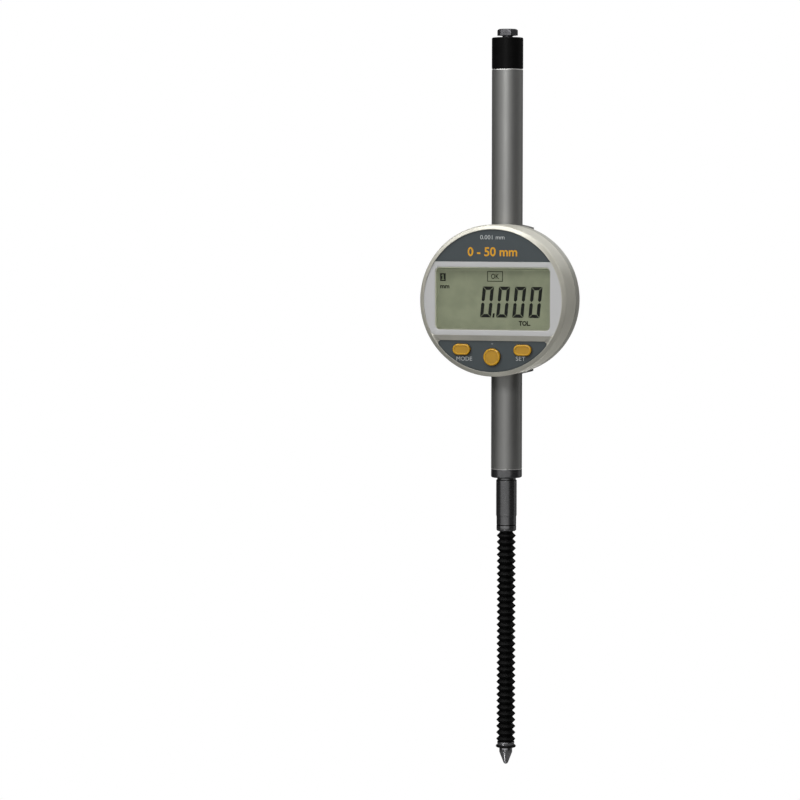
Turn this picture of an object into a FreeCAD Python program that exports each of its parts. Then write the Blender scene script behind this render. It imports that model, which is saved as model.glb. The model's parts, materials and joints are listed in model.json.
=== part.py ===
import FreeCAD, Part
import math
import os

# Digital indicator with a long plunger, in millimetres.
# Origin: on the plunger axis, at the middle of the clamping stem's ground length.
# +Z runs up the plunger axis, the display faces -Y, +X is to the right of the display.

# Clamping stem
STEM_DIAMETER = 8.0
STEM_LENGTH = 14.0
STEM_CHAMFER = 0.3
NECK_DIAMETER = 7.2
NECK_LENGTH = 1.1
SKIRT_DIAMETER = 7.66
SKIRT_LENGTH = 3.5
STEM_SPIGOT_DIAMETER = 6.9
STEM_SPIGOT_LENGTH = 1.1
STEM_PLUG_LENGTH = 6.4
END_RING_LENGTH = 2.35
END_RING_CHAMFER = 0.4

# Guide tube, its collar and its cap
TUBE_DIAMETER = 12.0
TUBE_WALL = 1.5
TUBE_EDGE = 0.4
TUBE_BELOW_HEAD = 66.9
TUBE_ABOVE_HEAD = 88.6
COLLAR_HEIGHT = 2.5
COLLAR_ROUND = 0.6
CAP_DIAMETER = 12.1
CAP_HEIGHT = 12.05
CAP_ROUND = 0.5
CAP_SPIGOT_LENGTH = 4.0
ROUND_STEPS = 2

# Closing bolt of the cap
BOLT_FLATS = 7.0
BOLT_HEAD_HEIGHT = 2.5
BOLT_HEAD_CHAMFER = 0.35
BOLT_DIAMETER = 4.0
BOLT_STAND_OFF = 0.75
BOLT_LENGTH = 8.0
BOLT_TURN = 3.0

# Plunger
TRAVEL = 50.0
SPINDLE_DIAMETER = 4.0
SPINDLE_FLAT = 1.0
BUSH_WALL = 0.8
LOWER_BUSH_LENGTH = 8.0
UPPER_BUSH_LENGTH = 6.0
BUSH_RELIEF = 0.3
GUIDE_PIN_DIAMETER = 1.0
GUIDE_PIN_DROP = 4.0
GROOVE_DEPTH = 0.5
BUFFER_HEIGHT = 1.0
STOP_RING_HEIGHT = 1.0
STOP_RING_DIAMETER = 7.2
STOP_RING_GROOVE = 0.2
SPINDLE_HEAD_LENGTH = 4.5
SPINDLE_HEAD_GAP = 1.0
SPRING_DIAMETER = 7.6
SPRING_WIRE = 0.5

# Contact point and the clip that holds the bellows
POINT_DIAMETER = 5.05
POINT_BARREL = 1.9
POINT_LENGTH = 6.66
BALL_RADIUS = 1.0
CONE_HALF_ANGLE = 21.0
POINT_STUD_DIAMETER = 2.5
POINT_STUD_LENGTH = 5.0
CLIP_DIAMETER = 6.6
CLIP_HEIGHT = 0.86
CLIP_SLEEVE_WALL = 0.5
ORING_DIAMETER = 7.85
ORING_HEIGHT = 0.9

# Bellows
FOLDS = 33
FOLD_PITCH = 2.5
PEAK_DIAMETER = 7.5
VALLEY_DIAMETER = 5.1
BELLOWS_LEAD = 1.9
BELLOWS_WALL = 0.35
BELLOWS_SIDES = 24
BELLOWS_FLANGE_DIAMETER = 6.6
BELLOWS_FLANGE_HEIGHT = 0.45
CUFF_DIAMETER = 6.7
CUFF_HEIGHT = 0.55
CUFF_NOTCH_DIAMETER = 5.9

# Display head, measured from the plunger axis towards the reader
HEAD_DIAMETER = 58.0
HEAD_FRONT = 22.0
HEAD_REAR = 0.3
SEAM_WIDTH = 0.4
HEAD_WALL = 2.2
BEZEL_WIDTH = 1.6
BEZEL_DEPTH = 1.25
BEZEL_EASE = 0.3
BEZEL_LAND = 0.16
PANEL_SET_IN = 0.3
PANEL_THICKNESS = 0.4
FRONT_WALL = 1.2

# Display window and frame
FASCIA_HEIGHT = 12.37
FRAME_CORNER = 1.7
FRAME_TOP_BORDER = 2.07
FRAME_BOTTOM_BORDER = 2.0
FRAME_SIDE_BORDER = 1.38
CROSS_BAR = 2.0
KEYPAD_HEIGHT = 12.04
KEYPAD_CORNER = 1.2
WINDOW_CORNER = 1.8
LENS_LAP = 0.55
LENS_THICKNESS = 1.1
LCD_LAP = 0.2
LCD_THICKNESS = 1.1
REFLECTOR_THICKNESS = 0.5

# Keys
KEY_PROUD = 1.0
KEY_BEVEL = 0.4
KEY_TRAVEL = 0.5
KEY_FLANGE = 0.55
KEY_FLANGE_THICKNESS = 0.5
KEY_LEG_DIAMETER = 2.0
SIDE_KEY_WIDTH = 6.95
SIDE_KEY_HEIGHT = 4.2
SIDE_KEY_X = 12.03
SIDE_KEY_RISE = 8.58
CENTRE_KEY_DIAMETER = 6.55
CENTRE_KEY_RISE = 5.83
DOME_DIAMETER = 4.0
DOME_THICKNESS = 0.1

# Electronics
BOARD_GAP = 0.5
BOARD_THICKNESS = 1.0
BOARD_SCREW_SET_IN = 2.4
BOARD_SCREW_ANGLES = (52.65, 127.35)
PROCESSOR_SIDE = 7.0
PROCESSOR_HEIGHT = 1.2
PROCESSOR_OFFSET = 9.0
MEMORY_SIDE = 4.0
MEMORY_HEIGHT = 1.0
MEMORY_DROP = 9.5
FLEX_SOCKET_WIDTH = 9.0
FLEX_SOCKET_DEPTH = 2.5
FLEX_SOCKET_HEIGHT = 1.5
FLEX_SOCKET_RISE = 11.25
PORT_SOCKET_DEPTH = 4.5
PORT_SOCKET_HEIGHT = 3.0
CELL_DIAMETER = 20.0
CELL_THICKNESS = 3.2
CELL_WALL_GAP = 3.8
CELL_CLIP_THICKNESS = 0.3
CELL_CLIP_WIDTH = 5.0
DOOR_HALF_HEIGHT = 10.6
PORT_WIDTH = 8.0
PORT_HEIGHT = 3.6
PORT_ANGLE = 250.0
SCALE_WIDTH = 3.4
SCALE_THICKNESS = 1.0
SCALE_SPARE = 0.8
READ_HEAD_LENGTH = 14.0
READ_HEAD_WIDTH = 6.0
READ_HEAD_THICKNESS = 0.8
READ_GAP = 0.15
TUBE_WINDOW_SPARE = 1.5

# Swivel between head and rear body
HUB_DIAMETER = 22.8
HUB_WALL = 2.0
SHOULDER_WIDTH = 2.0
BACK_PLATE_THICKNESS = 1.4
BACK_PLATE_SET_IN = 3.0
PLATE_SCREW_LENGTH = 4.0
WASHER_THICKNESS = 0.4
RETAINER_THICKNESS = 0.8
RETAINER_SLEEVE = 2.0
STOP_SET_IN = 6.8
STOP_PIN_DIAMETER = 2.0
STOP_PIN_LENGTH = 1.2
STOP_POST_DIAMETER = 2.4
SWIVEL_LIMIT = 135.0
BOSS_DIAMETER = 3.8
BOSS_ANGLES = (90.0, 221.5, 318.5)

# Rear body and back cover
REAR_WALL = 2.4
REAR_FLOOR = 1.2
REAR_EDGE = 0.5
SPINE_SIDE_WALL = 3.0
SPINE_FRONT_WALL = 1.5
SPINE_REAR_WALL = 1.3
SPINE_COVER_LAP = 1.0
SPINE_BEVEL = 0.8
COVER_SCREW_TUBE_GAP = 0.2
COVER_SCREW_END_GAP = 9.0
SEAL_WIDTH = 1.6

# Screws
FINE_SCREW = 1.4
COVER_SCREW = 1.6
COVER_SCREW_SINK = 0.1
SCREW_HEAD_RATIO = 1.9

# Fits
RUNNING = 0.02
SLIDING = 0.08
SEAT = 0.05
CLEAR = 0.15
FREE = 0.3

# Levels along the plunger axis
STEM_TOP = STEM_LENGTH / 2
STEM_BOTTOM = -STEM_LENGTH / 2
COLLAR_BOTTOM = STEM_TOP + NECK_LENGTH
TUBE_BOTTOM = COLLAR_BOTTOM + COLLAR_HEIGHT
PLUG_TOP = TUBE_BOTTOM + STEM_PLUG_LENGTH
HEAD_Z = TUBE_BOTTOM + TUBE_BELOW_HEAD
TUBE_TOP = HEAD_Z + TUBE_ABOVE_HEAD
CAP_TOP = TUBE_TOP + CAP_HEIGHT
SKIRT_BOTTOM = STEM_BOTTOM - SKIRT_LENGTH
SPIGOT_BOTTOM = SKIRT_BOTTOM - STEM_SPIGOT_LENGTH
END_RING_BOTTOM = SKIRT_BOTTOM - END_RING_LENGTH
FIRST_PEAK = END_RING_BOTTOM - BELLOWS_LEAD
LAST_PEAK = FIRST_PEAK - (FOLDS - 1) * FOLD_PITCH
CUFF_TOP = LAST_PEAK - 0.4 * FOLD_PITCH
CUFF_BOTTOM = CUFF_TOP - CUFF_HEIGHT
CLIP_BOTTOM = CUFF_BOTTOM - CLIP_HEIGHT
SHOULDER = CLIP_BOTTOM - ORING_HEIGHT
STOP_RING_BOTTOM = PLUG_TOP + BUFFER_HEIGHT + SEAT
READ_HEAD_BOTTOM = HEAD_Z - READ_HEAD_LENGTH / 2
SCALE_BOTTOM = READ_HEAD_BOTTOM - TRAVEL - SCALE_SPARE
SCALE_TOP = HEAD_Z + READ_HEAD_LENGTH / 2 + SCALE_SPARE
SPINDLE_HEAD_BOTTOM = HEAD_Z + READ_HEAD_LENGTH / 2 + TUBE_WINDOW_SPARE + SPINDLE_HEAD_GAP
SPINDLE_TOP = SPINDLE_HEAD_BOTTOM + SPINDLE_HEAD_LENGTH

# Radii
SPINDLE_R = SPINDLE_DIAMETER / 2
TUBE_R = TUBE_DIAMETER / 2
BORE_R = TUBE_R - TUBE_WALL
BUSH_R = SPINDLE_R + BUSH_WALL
HEAD_R = HEAD_DIAMETER / 2
HEAD_INNER_R = HEAD_R - HEAD_WALL
PANEL_R = HEAD_R - BEZEL_WIDTH - BEZEL_LAND
HUB_R = HUB_DIAMETER / 2
SHOULDER_R = HUB_R + SHOULDER_WIDTH
SPINE_HALF_WIDTH = TUBE_R + SPINE_SIDE_WALL
COVER_SCREW_X = TUBE_R + COVER_SCREW_TUBE_GAP + COVER_SCREW / 2
COVER_SCREW_Z = HEAD_R - COVER_SCREW_END_GAP
BOSS_R = BOSS_DIAMETER / 2
BOSS_CIRCLE = HEAD_INNER_R - BOSS_R - CLEAR
BOARD_R = HEAD_INNER_R - BOARD_GAP
STOP_RADIUS = HEAD_INNER_R - STOP_SET_IN

# Heights and widths on the face, from the head's centre
FASCIA_BOTTOM = PANEL_R - FASCIA_HEIGHT
KEYPAD_TOP = KEYPAD_HEIGHT - PANEL_R
FRAME_BOTTOM = KEYPAD_TOP + CROSS_BAR
WINDOW_TOP = FASCIA_BOTTOM - FRAME_TOP_BORDER
WINDOW_BOTTOM = FRAME_BOTTOM + FRAME_BOTTOM_BORDER
WINDOW_HALF_WIDTH = math.sqrt(PANEL_R ** 2 - WINDOW_TOP ** 2) - FRAME_SIDE_BORDER
SIDE_KEY_Z = SIDE_KEY_RISE - PANEL_R
CENTRE_KEY_Z = CENTRE_KEY_RISE - PANEL_R
CELL_X = CELL_DIAMETER / 2 + CELL_WALL_GAP - HEAD_INNER_R

# Planes of the head, front to back. The seam lies level with the tube's front.
FACE = -HEAD_FRONT
PANEL_TOP = FACE + PANEL_SET_IN
POCKET_FLOOR = PANEL_TOP + PANEL_THICKNESS
WALL_BACK = POCKET_FLOOR + FRONT_WALL
LCD_FRONT = WALL_BACK + SEAT
REFLECTOR_FRONT = LCD_FRONT + LCD_THICKNESS + SEAT
BOARD_FRONT = REFLECTOR_FRONT + REFLECTOR_THICKNESS + SEAT
BOARD_BACK = BOARD_FRONT + BOARD_THICKNESS
CELL_FRONT = BOARD_BACK + SEAT
CELL_BACK = CELL_FRONT + CELL_THICKNESS
HEAD_BACK = -TUBE_R - SEAM_WIDTH / 2
RING_FRONT = -TUBE_R + SEAM_WIDTH / 2
PLATE_BACK = HEAD_BACK - BACK_PLATE_SET_IN
PLATE_FRONT = PLATE_BACK - BACK_PLATE_THICKNESS
HUB_FRONT = PLATE_FRONT - SEAT
SHOULDER_FRONT = PLATE_BACK + SEAT + WASHER_THICKNESS
SPINE_FRONT = -TUBE_R - SPINE_FRONT_WALL
FLOOR_FRONT = HEAD_REAR - REAR_FLOOR
SPINE_SPLIT = TUBE_R - SPINE_COVER_LAP
SPINE_REAR = TUBE_R + SPINE_REAR_WALL
SCALE_FRONT = -SPINDLE_FLAT - SCALE_THICKNESS
READ_HEAD_BACK = SCALE_FRONT - READ_GAP
READ_HEAD_FRONT = READ_HEAD_BACK - READ_HEAD_THICKNESS
DOME_TOP = BOARD_FRONT - DOME_THICKNESS
KEY_LEG_END = DOME_TOP - KEY_TRAVEL - SEAT

UP = FreeCAD.Vector(0, 0, 1)
BACKWARDS = FreeCAD.Vector(0, 1, 0)
HEAD_CENTRE = FreeCAD.Vector(0, 0, HEAD_Z)


def rod(radius, low, high):
    """A round bar on the plunger axis, between two levels."""
    return Part.makeCylinder(radius, high - low, FreeCAD.Vector(0, 0, low), UP)


def pipe(outer, inner, low, high):
    """A round tube on the plunger axis."""
    return rod(outer, low, high).cut(rod(inner, low, high))


def turned(points):
    """A closed profile of (radius, level) points, turned about the plunger axis."""
    corners = [FreeCAD.Vector(r, 0, z) for r, z in points]
    face = Part.Face(Part.makePolygon(corners + corners[:1]))
    return face.revolve(FreeCAD.Vector(0, 0, 0), UP, 360)


def disc(radius, front, back, x=0.0, z=0.0):
    """A round bar along Y, with x and z measured from the head's centre."""
    base = FreeCAD.Vector(x, front, HEAD_Z + z)
    return Part.makeCylinder(radius, back - front, base, BACKWARDS)


def washer(outer, inner, front, back):
    """A flat ring about the head's centre."""
    return disc(outer, front, back).cut(disc(inner, front, back))


def slab(half_width, front, back, bottom, top, x=0.0):
    """A box, with its heights measured from the head's centre."""
    base = FreeCAD.Vector(x - half_width, front, HEAD_Z + bottom)
    return Part.makeBox(2 * half_width, back - front, top - bottom, base)


def edges_along_y(solid, picked):
    """The straight edges along Y whose x and height above the head's centre are picked."""
    found = []
    for edge in solid.Edges:
        box = edge.BoundBox
        if box.YLength < 0.001 or box.XLength > 0.001 or box.ZLength > 0.001:
            continue
        if picked(box.XMin, box.ZMin - HEAD_Z):
            found.append(edge)
    return found


def rounded_slab(half_width, front, back, bottom, top, corner):
    """A slab with its four corners rounded."""
    plate = slab(half_width, front, back, bottom, top)
    return plate.makeFillet(corner, edges_along_y(plate, lambda x, z: True))


def segment(radius, front, back, bottom, top, corner, picked):
    """The part of a disc between two heights, with the picked corners rounded."""
    plate = disc(radius, front, back).common(slab(radius + 1, front, back, bottom, top))
    if corner:
        plate = plate.makeFillet(corner, edges_along_y(plate, picked))
    return plate


def pill(width, height, front, back, x, z):
    """A bar along Y with a section that has straight sides and half-round ends."""
    reach = (width - height) / 2
    middle = slab(reach, front, back, z - height / 2, z + height / 2, x)
    left = disc(height / 2, front, back, x - reach, z)
    right = disc(height / 2, front, back, x + reach, z)
    return middle.fuse([left, right]).removeSplitter()


def on_circle(radius, angle):
    """x and height of a point on a circle about the head's centre."""
    return radius * math.cos(math.radians(angle)), radius * math.sin(math.radians(angle))


def flush_screw(diameter, length, head_plane, towards, x, z):
    """A countersunk screw along Y, its flat head at head_plane, its shank going towards +1 or -1."""
    head_r = diameter * SCREW_HEAD_RATIO / 2
    cone_depth = head_r - diameter / 2
    base = FreeCAD.Vector(x, head_plane, HEAD_Z + z)
    along = BACKWARDS * towards
    head = Part.makeCone(head_r, diameter / 2, cone_depth, base, along)
    shank = Part.makeCylinder(diameter / 2, length - cone_depth, base + along * cone_depth, along)
    return head.fuse(shank).removeSplitter()


def clamping_stem():
    skirt_r = SKIRT_DIAMETER / 2
    stem_r = STEM_DIAMETER / 2
    neck_r = NECK_DIAMETER / 2
    plug_r = BORE_R - RUNNING
    bush_seat = BUSH_R + RUNNING
    waist = SPINDLE_R + BUSH_RELIEF
    return turned([
        (bush_seat, SPIGOT_BOTTOM),
        (STEM_SPIGOT_DIAMETER / 2, SPIGOT_BOTTOM),
        (STEM_SPIGOT_DIAMETER / 2, SKIRT_BOTTOM),
        (skirt_r - CLEAR, SKIRT_BOTTOM),
        (skirt_r, SKIRT_BOTTOM + CLEAR),
        (skirt_r, STEM_BOTTOM),
        (stem_r, STEM_BOTTOM),
        (stem_r, STEM_TOP),
        (neck_r, STEM_TOP + STEM_CHAMFER),
        (neck_r, COLLAR_BOTTOM),
        (stem_r, COLLAR_BOTTOM),
        (stem_r, TUBE_BOTTOM),
        (plug_r, TUBE_BOTTOM),
        (plug_r, PLUG_TOP),
        (bush_seat, PLUG_TOP),
        (bush_seat, PLUG_TOP - UPPER_BUSH_LENGTH),
        (waist, PLUG_TOP - UPPER_BUSH_LENGTH),
        (waist, SPIGOT_BOTTOM + LOWER_BUSH_LENGTH),
        (bush_seat, SPIGOT_BOTTOM + LOWER_BUSH_LENGTH),
    ]).cut(guide_pin_bar(RUNNING, BORE_R))


def guide_pin_bar(allowance, reach):
    """A bar along Y at the guide pin's level, from the spindle's groove outwards."""
    start = SPINDLE_R - GROOVE_DEPTH + CLEAR
    base = FreeCAD.Vector(0, start, PLUG_TOP - GUIDE_PIN_DROP)
    return Part.makeCylinder(GUIDE_PIN_DIAMETER / 2 + allowance, reach - start, base, BACKWARDS)


def guide_pin():
    return guide_pin_bar(0.0, BORE_R - CLEAR)


def bush(low, length):
    return pipe(BUSH_R, SPINDLE_R + RUNNING, low, low + length)


def lower_bush():
    return bush(SPIGOT_BOTTOM, LOWER_BUSH_LENGTH)


def upper_bush():
    return bush(PLUG_TOP - UPPER_BUSH_LENGTH, UPPER_BUSH_LENGTH).cut(guide_pin_bar(RUNNING, BORE_R))


def stem_end_ring():
    outer = SKIRT_DIAMETER / 2
    ledge = SPIGOT_BOTTOM - BELLOWS_FLANGE_HEIGHT - SEAT
    spigot_seat = STEM_SPIGOT_DIAMETER / 2 + RUNNING
    return turned([
        (spigot_seat, SKIRT_BOTTOM),
        (spigot_seat, ledge),
        (VALLEY_DIAMETER / 2 + SEAT, ledge),
        (VALLEY_DIAMETER / 2 + SEAT, END_RING_BOTTOM),
        (outer - END_RING_CHAMFER, END_RING_BOTTOM),
        (outer, END_RING_BOTTOM + END_RING_CHAMFER),
        (outer, SKIRT_BOTTOM - CLEAR),
        (outer - CLEAR, SKIRT_BOTTOM),
    ])


def rounded_corner(radius, level, size, side):
    """Points of a rounded outer edge: side -1 where the edge is the lower one, +1 where it is the upper."""
    centre_r = radius - size
    centre_z = level - side * size
    points = []
    for step in range(ROUND_STEPS + 1):
        angle = math.pi / 2 * step / ROUND_STEPS
        points.append((centre_r + size * math.sin(angle), centre_z + side * size * math.cos(angle)))
    return points


def tube_collar():
    inner = STEM_DIAMETER / 2 + RUNNING
    lower_edge = rounded_corner(TUBE_R, COLLAR_BOTTOM, COLLAR_ROUND, -1)
    return turned([(inner, COLLAR_BOTTOM)] + lower_edge + [(TUBE_R, TUBE_BOTTOM), (inner, TUBE_BOTTOM)])


def guide_tube():
    tube = turned([
        (BORE_R, TUBE_BOTTOM),
        (TUBE_R - TUBE_EDGE, TUBE_BOTTOM),
        (TUBE_R, TUBE_BOTTOM + TUBE_EDGE),
        (TUBE_R, TUBE_TOP - TUBE_EDGE),
        (TUBE_R - TUBE_EDGE, TUBE_TOP),
        (BORE_R, TUBE_TOP),
    ])
    return tube.cut(read_window(-TUBE_R - 1))


def read_window(front):
    """The way through the tube's front wall and the spine for the read head."""
    reach = READ_HEAD_LENGTH / 2 + TUBE_WINDOW_SPARE
    return slab(READ_HEAD_WIDTH / 2 + CLEAR, front, 0, -reach, reach)


def top_cap():
    outer = CAP_DIAMETER / 2
    bolt_hole = BOLT_DIAMETER / 2 + RUNNING
    spigot_r = BORE_R - RUNNING
    return turned([
        (bolt_hole, TUBE_TOP - CAP_SPIGOT_LENGTH),
        (spigot_r, TUBE_TOP - CAP_SPIGOT_LENGTH),
        (spigot_r, TUBE_TOP),
        (outer, TUBE_TOP),
    ] + rounded_corner(outer, CAP_TOP, CAP_ROUND, 1)[::-1] + [(bolt_hole, CAP_TOP)])


def cap_bolt():
    head_bottom = CAP_TOP + BOLT_STAND_OFF
    head_top = head_bottom + BOLT_HEAD_HEIGHT
    corner_r = BOLT_FLATS / math.sqrt(3)
    # A hexagon with a flat towards the reader has its first corner on the X axis.
    corners = []
    for step in range(7):
        angle = math.radians(60 * step + BOLT_TURN)
        corners.append(FreeCAD.Vector(corner_r * math.cos(angle), corner_r * math.sin(angle), head_bottom))
    prism = Part.Face(Part.makePolygon(corners)).extrude(UP * BOLT_HEAD_HEIGHT)
    crown = turned([
        (0, head_bottom),
        (corner_r, head_bottom),
        (corner_r, head_top - 1.5 * BOLT_HEAD_CHAMFER),
        (corner_r - 2 * BOLT_HEAD_CHAMFER, head_top),
        (0, head_top),
    ])
    shank = rod(BOLT_DIAMETER / 2, CAP_TOP - BOLT_LENGTH, head_bottom)
    return prism.common(crown).fuse(shank).removeSplitter()


def spindle():
    bar = rod(SPINDLE_R, SHOULDER, SPINDLE_TOP - SEAT)
    # The flat carries the scale, and the groove takes the guide pin over the whole travel.
    flat = slab(SPINDLE_R, -SPINDLE_R, -SPINDLE_FLAT, SCALE_BOTTOM - HEAD_Z, SPINDLE_HEAD_BOTTOM - HEAD_Z)
    groove_half = GUIDE_PIN_DIAMETER / 2 + SLIDING
    groove_reach = GUIDE_PIN_DIAMETER
    pin_level = PLUG_TOP - GUIDE_PIN_DROP
    groove = slab(
        groove_half, SPINDLE_R - GROOVE_DEPTH, SPINDLE_R,
        pin_level - TRAVEL - groove_reach - HEAD_Z, pin_level + groove_reach - HEAD_Z)
    neck_r = SPINDLE_R - STOP_RING_GROOVE
    clip_neck = pipe(SPINDLE_R + 1, neck_r, STOP_RING_BOTTOM, STOP_RING_BOTTOM + STOP_RING_HEIGHT)
    thread_hole = rod(POINT_STUD_DIAMETER / 2, SHOULDER, SHOULDER + POINT_STUD_LENGTH + FREE)
    return bar.cut([flat, groove, clip_neck, thread_hole])


def stop_ring():
    neck_r = SPINDLE_R - STOP_RING_GROOVE
    return pipe(STOP_RING_DIAMETER / 2, neck_r, STOP_RING_BOTTOM, STOP_RING_BOTTOM + STOP_RING_HEIGHT)


def buffer_ring():
    return pipe(BORE_R - CLEAR, SPINDLE_R + FREE, PLUG_TOP, PLUG_TOP + BUFFER_HEIGHT)


def spindle_head():
    body = rod(BORE_R - SLIDING, SPINDLE_HEAD_BOTTOM, SPINDLE_TOP)
    return body.cut(rod(SPINDLE_R, SPINDLE_HEAD_BOTTOM, SPINDLE_TOP - SEAT))


def return_spring():
    outer = SPRING_DIAMETER / 2
    return pipe(outer, outer - SPRING_WIRE, SPINDLE_TOP, TUBE_TOP - CAP_SPIGOT_LENGTH)


def scale_strip():
    return slab(SCALE_WIDTH / 2, SCALE_FRONT, -SPINDLE_FLAT, SCALE_BOTTOM - HEAD_Z, SCALE_TOP - HEAD_Z)


def contact_point():
    tip = SHOULDER - POINT_LENGTH
    ball_centre = tip + BALL_RADIUS
    lean = math.radians(CONE_HALF_ANGLE)
    touch_r = BALL_RADIUS * math.cos(lean)
    touch_z = ball_centre - BALL_RADIUS * math.sin(lean)
    barrel_r = POINT_DIAMETER / 2
    cone_top = SHOULDER - POINT_BARREL
    cone_r = touch_r + (cone_top - touch_z) * math.tan(lean)
    stud_top = SHOULDER + POINT_STUD_LENGTH
    stud_r = POINT_STUD_DIAMETER / 2
    outline = [(0, stud_top), (stud_r, stud_top), (stud_r, SHOULDER), (barrel_r, SHOULDER)]
    outline += [(barrel_r, cone_top), (cone_r, cone_top), (touch_r, touch_z)]
    corners = [FreeCAD.Vector(r, 0, z) for r, z in outline]
    mid_angle = (lean + math.pi / 2) / 2
    middle = FreeCAD.Vector(
        BALL_RADIUS * math.cos(mid_angle), 0, ball_centre - BALL_RADIUS * math.sin(mid_angle))
    end = FreeCAD.Vector(0, 0, tip)
    edges = list(Part.makePolygon(corners).Edges)
    edges.append(Part.Arc(corners[-1], middle, end).toShape())
    edges.append(Part.makeLine(end, corners[0]))
    return Part.Face(Part.Wire(edges)).revolve(FreeCAD.Vector(0, 0, 0), UP, 360)


def clip_sleeve_radius():
    return SPINDLE_R + RUNNING + CLIP_SLEEVE_WALL


def bellows_clip():
    sleeve_r = clip_sleeve_radius()
    return turned([
        (SPINDLE_R + RUNNING, SHOULDER),
        (sleeve_r, SHOULDER),
        (sleeve_r, CLIP_BOTTOM),
        (CLIP_DIAMETER / 2, CLIP_BOTTOM),
        (CLIP_DIAMETER / 2, CUFF_BOTTOM),
        (sleeve_r, CUFF_BOTTOM),
        (sleeve_r, CUFF_TOP),
        (SPINDLE_R + RUNNING, CUFF_TOP),
    ])


def clip_oring():
    outer = ORING_DIAMETER / 2
    bevel = ORING_HEIGHT / 4
    inner = clip_sleeve_radius() + RUNNING
    return turned([
        (inner, SHOULDER + SEAT),
        (outer - bevel, SHOULDER + SEAT),
        (outer, SHOULDER + bevel),
        (outer, CLIP_BOTTOM - bevel),
        (outer - bevel, CLIP_BOTTOM),
        (inner, CLIP_BOTTOM),
    ])


def many_sided_ring(radius, level):
    """The corners of a ring with BELLOWS_SIDES equal sides about the plunger axis, the first one repeated."""
    turns = [2 * math.pi * (step % BELLOWS_SIDES) / BELLOWS_SIDES for step in range(BELLOWS_SIDES + 1)]
    return [FreeCAD.Vector(radius * math.cos(turn), radius * math.sin(turn), level) for turn in turns]


def faceted(rings):
    """A solid whose flat facets join each ring of corners to the next one, closed at both ends."""
    faces = [Part.Face(Part.makePolygon(ring)) for ring in (rings[0], rings[-1])]
    for upper, lower in zip(rings, rings[1:]):
        for side in range(BELLOWS_SIDES):
            corners = [upper[side], upper[side + 1], lower[side + 1], lower[side]]
            faces.append(Part.Face(Part.makePolygon(corners + corners[:1])))
    return Part.Solid(Part.Shell(faces))


def bellows():
    """Folds between rings that are wide at each peak and narrow at each valley."""
    peak = PEAK_DIAMETER / 2
    valley = VALLEY_DIAMETER / 2
    flange_top = SPIGOT_BOTTOM - SEAT
    flange_bottom = flange_top - BELLOWS_FLANGE_HEIGHT + SEAT
    rings = [many_sided_ring(valley, flange_top)]
    for fold in range(FOLDS):
        level = FIRST_PEAK - fold * FOLD_PITCH
        rings.append(many_sided_ring(valley, level + FOLD_PITCH / 2))
        rings.append(many_sided_ring(peak, level))
    rings.append(many_sided_ring(CUFF_NOTCH_DIAMETER / 2, CUFF_TOP))
    rings.append(many_sided_ring(CUFF_DIAMETER / 2, CUFF_TOP - CUFF_HEIGHT / 3))
    rings.append(many_sided_ring(CUFF_DIAMETER / 2, CUFF_BOTTOM))
    flange = rod(BELLOWS_FLANGE_DIAMETER / 2, flange_bottom, flange_top)
    bore = rod(valley - BELLOWS_WALL, CUFF_BOTTOM, flange_top)
    sleeve_seat = rod(clip_sleeve_radius() + RUNNING, CUFF_BOTTOM, CUFF_TOP + SEAT)
    return faceted(rings).fuse(flange).cut([bore, sleeve_seat])


def key_shapes(grow):
    """Sections of the three keys, grown all round: name, width, height, x and z."""
    side = (SIDE_KEY_WIDTH + 2 * grow, SIDE_KEY_HEIGHT + 2 * grow)
    round_size = CENTRE_KEY_DIAMETER + 2 * grow
    return {
        "mode": (*side, -SIDE_KEY_X, SIDE_KEY_Z),
        "set": (*side, SIDE_KEY_X, SIDE_KEY_Z),
        "centre": (round_size, round_size, 0.0, CENTRE_KEY_Z),
    }


def key_bar(name, grow, front, back):
    width, height, x, z = key_shapes(grow)[name]
    if width > height:
        return pill(width, height, front, back, x, z)
    return disc(width / 2, front, back, x, z)


def key(name):
    top = PANEL_TOP - KEY_PROUD
    flange_front = WALL_BACK + SEAT
    cap = key_bar(name, 0.0, top, flange_front)
    rim = [e for e in cap.Edges if e.BoundBox.YLength < 0.001 and abs(e.BoundBox.YMin - top) < 0.001]
    cap = cap.makeChamfer(KEY_BEVEL, rim)
    flange = key_bar(name, KEY_FLANGE, flange_front, flange_front + KEY_FLANGE_THICKNESS)
    _, _, x, z = key_shapes(0.0)[name]
    leg = disc(KEY_LEG_DIAMETER / 2, flange_front, KEY_LEG_END, x, z)
    return cap.fuse([flange, leg]).removeSplitter()


def mode_key():
    return key("mode")


def set_key():
    return key("set")


def centre_key():
    return key("centre")


def snap_domes():
    domes = []
    for _, _, x, z in key_shapes(0.0).values():
        domes.append(disc(DOME_DIAMETER / 2, DOME_TOP, BOARD_FRONT, x, z))
    return Part.makeCompound(domes)


def upper_pocket(radius, front, back, corner):
    """Where the fascia and the display frame lie."""
    return segment(radius, front, back, FRAME_BOTTOM, radius + 1, corner, lambda x, z: z < 0)


def lower_pocket(radius, front, back, corner):
    """Where the keypad panel lies."""
    return segment(radius, front, back, -radius - 1, KEYPAD_TOP, corner, lambda x, z: True)


def lens_plate(grow, front, back):
    return rounded_slab(
        WINDOW_HALF_WIDTH + LENS_LAP + grow, front, back,
        WINDOW_BOTTOM - LENS_LAP - grow, WINDOW_TOP + LENS_LAP + grow, WINDOW_CORNER + LENS_LAP + grow)


def boss_places():
    return [on_circle(BOSS_CIRCLE, angle) for angle in BOSS_ANGLES]


def board_screw_places():
    return [on_circle(BOARD_R - BOARD_SCREW_SET_IN, angle) for angle in BOARD_SCREW_ANGLES]


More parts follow.
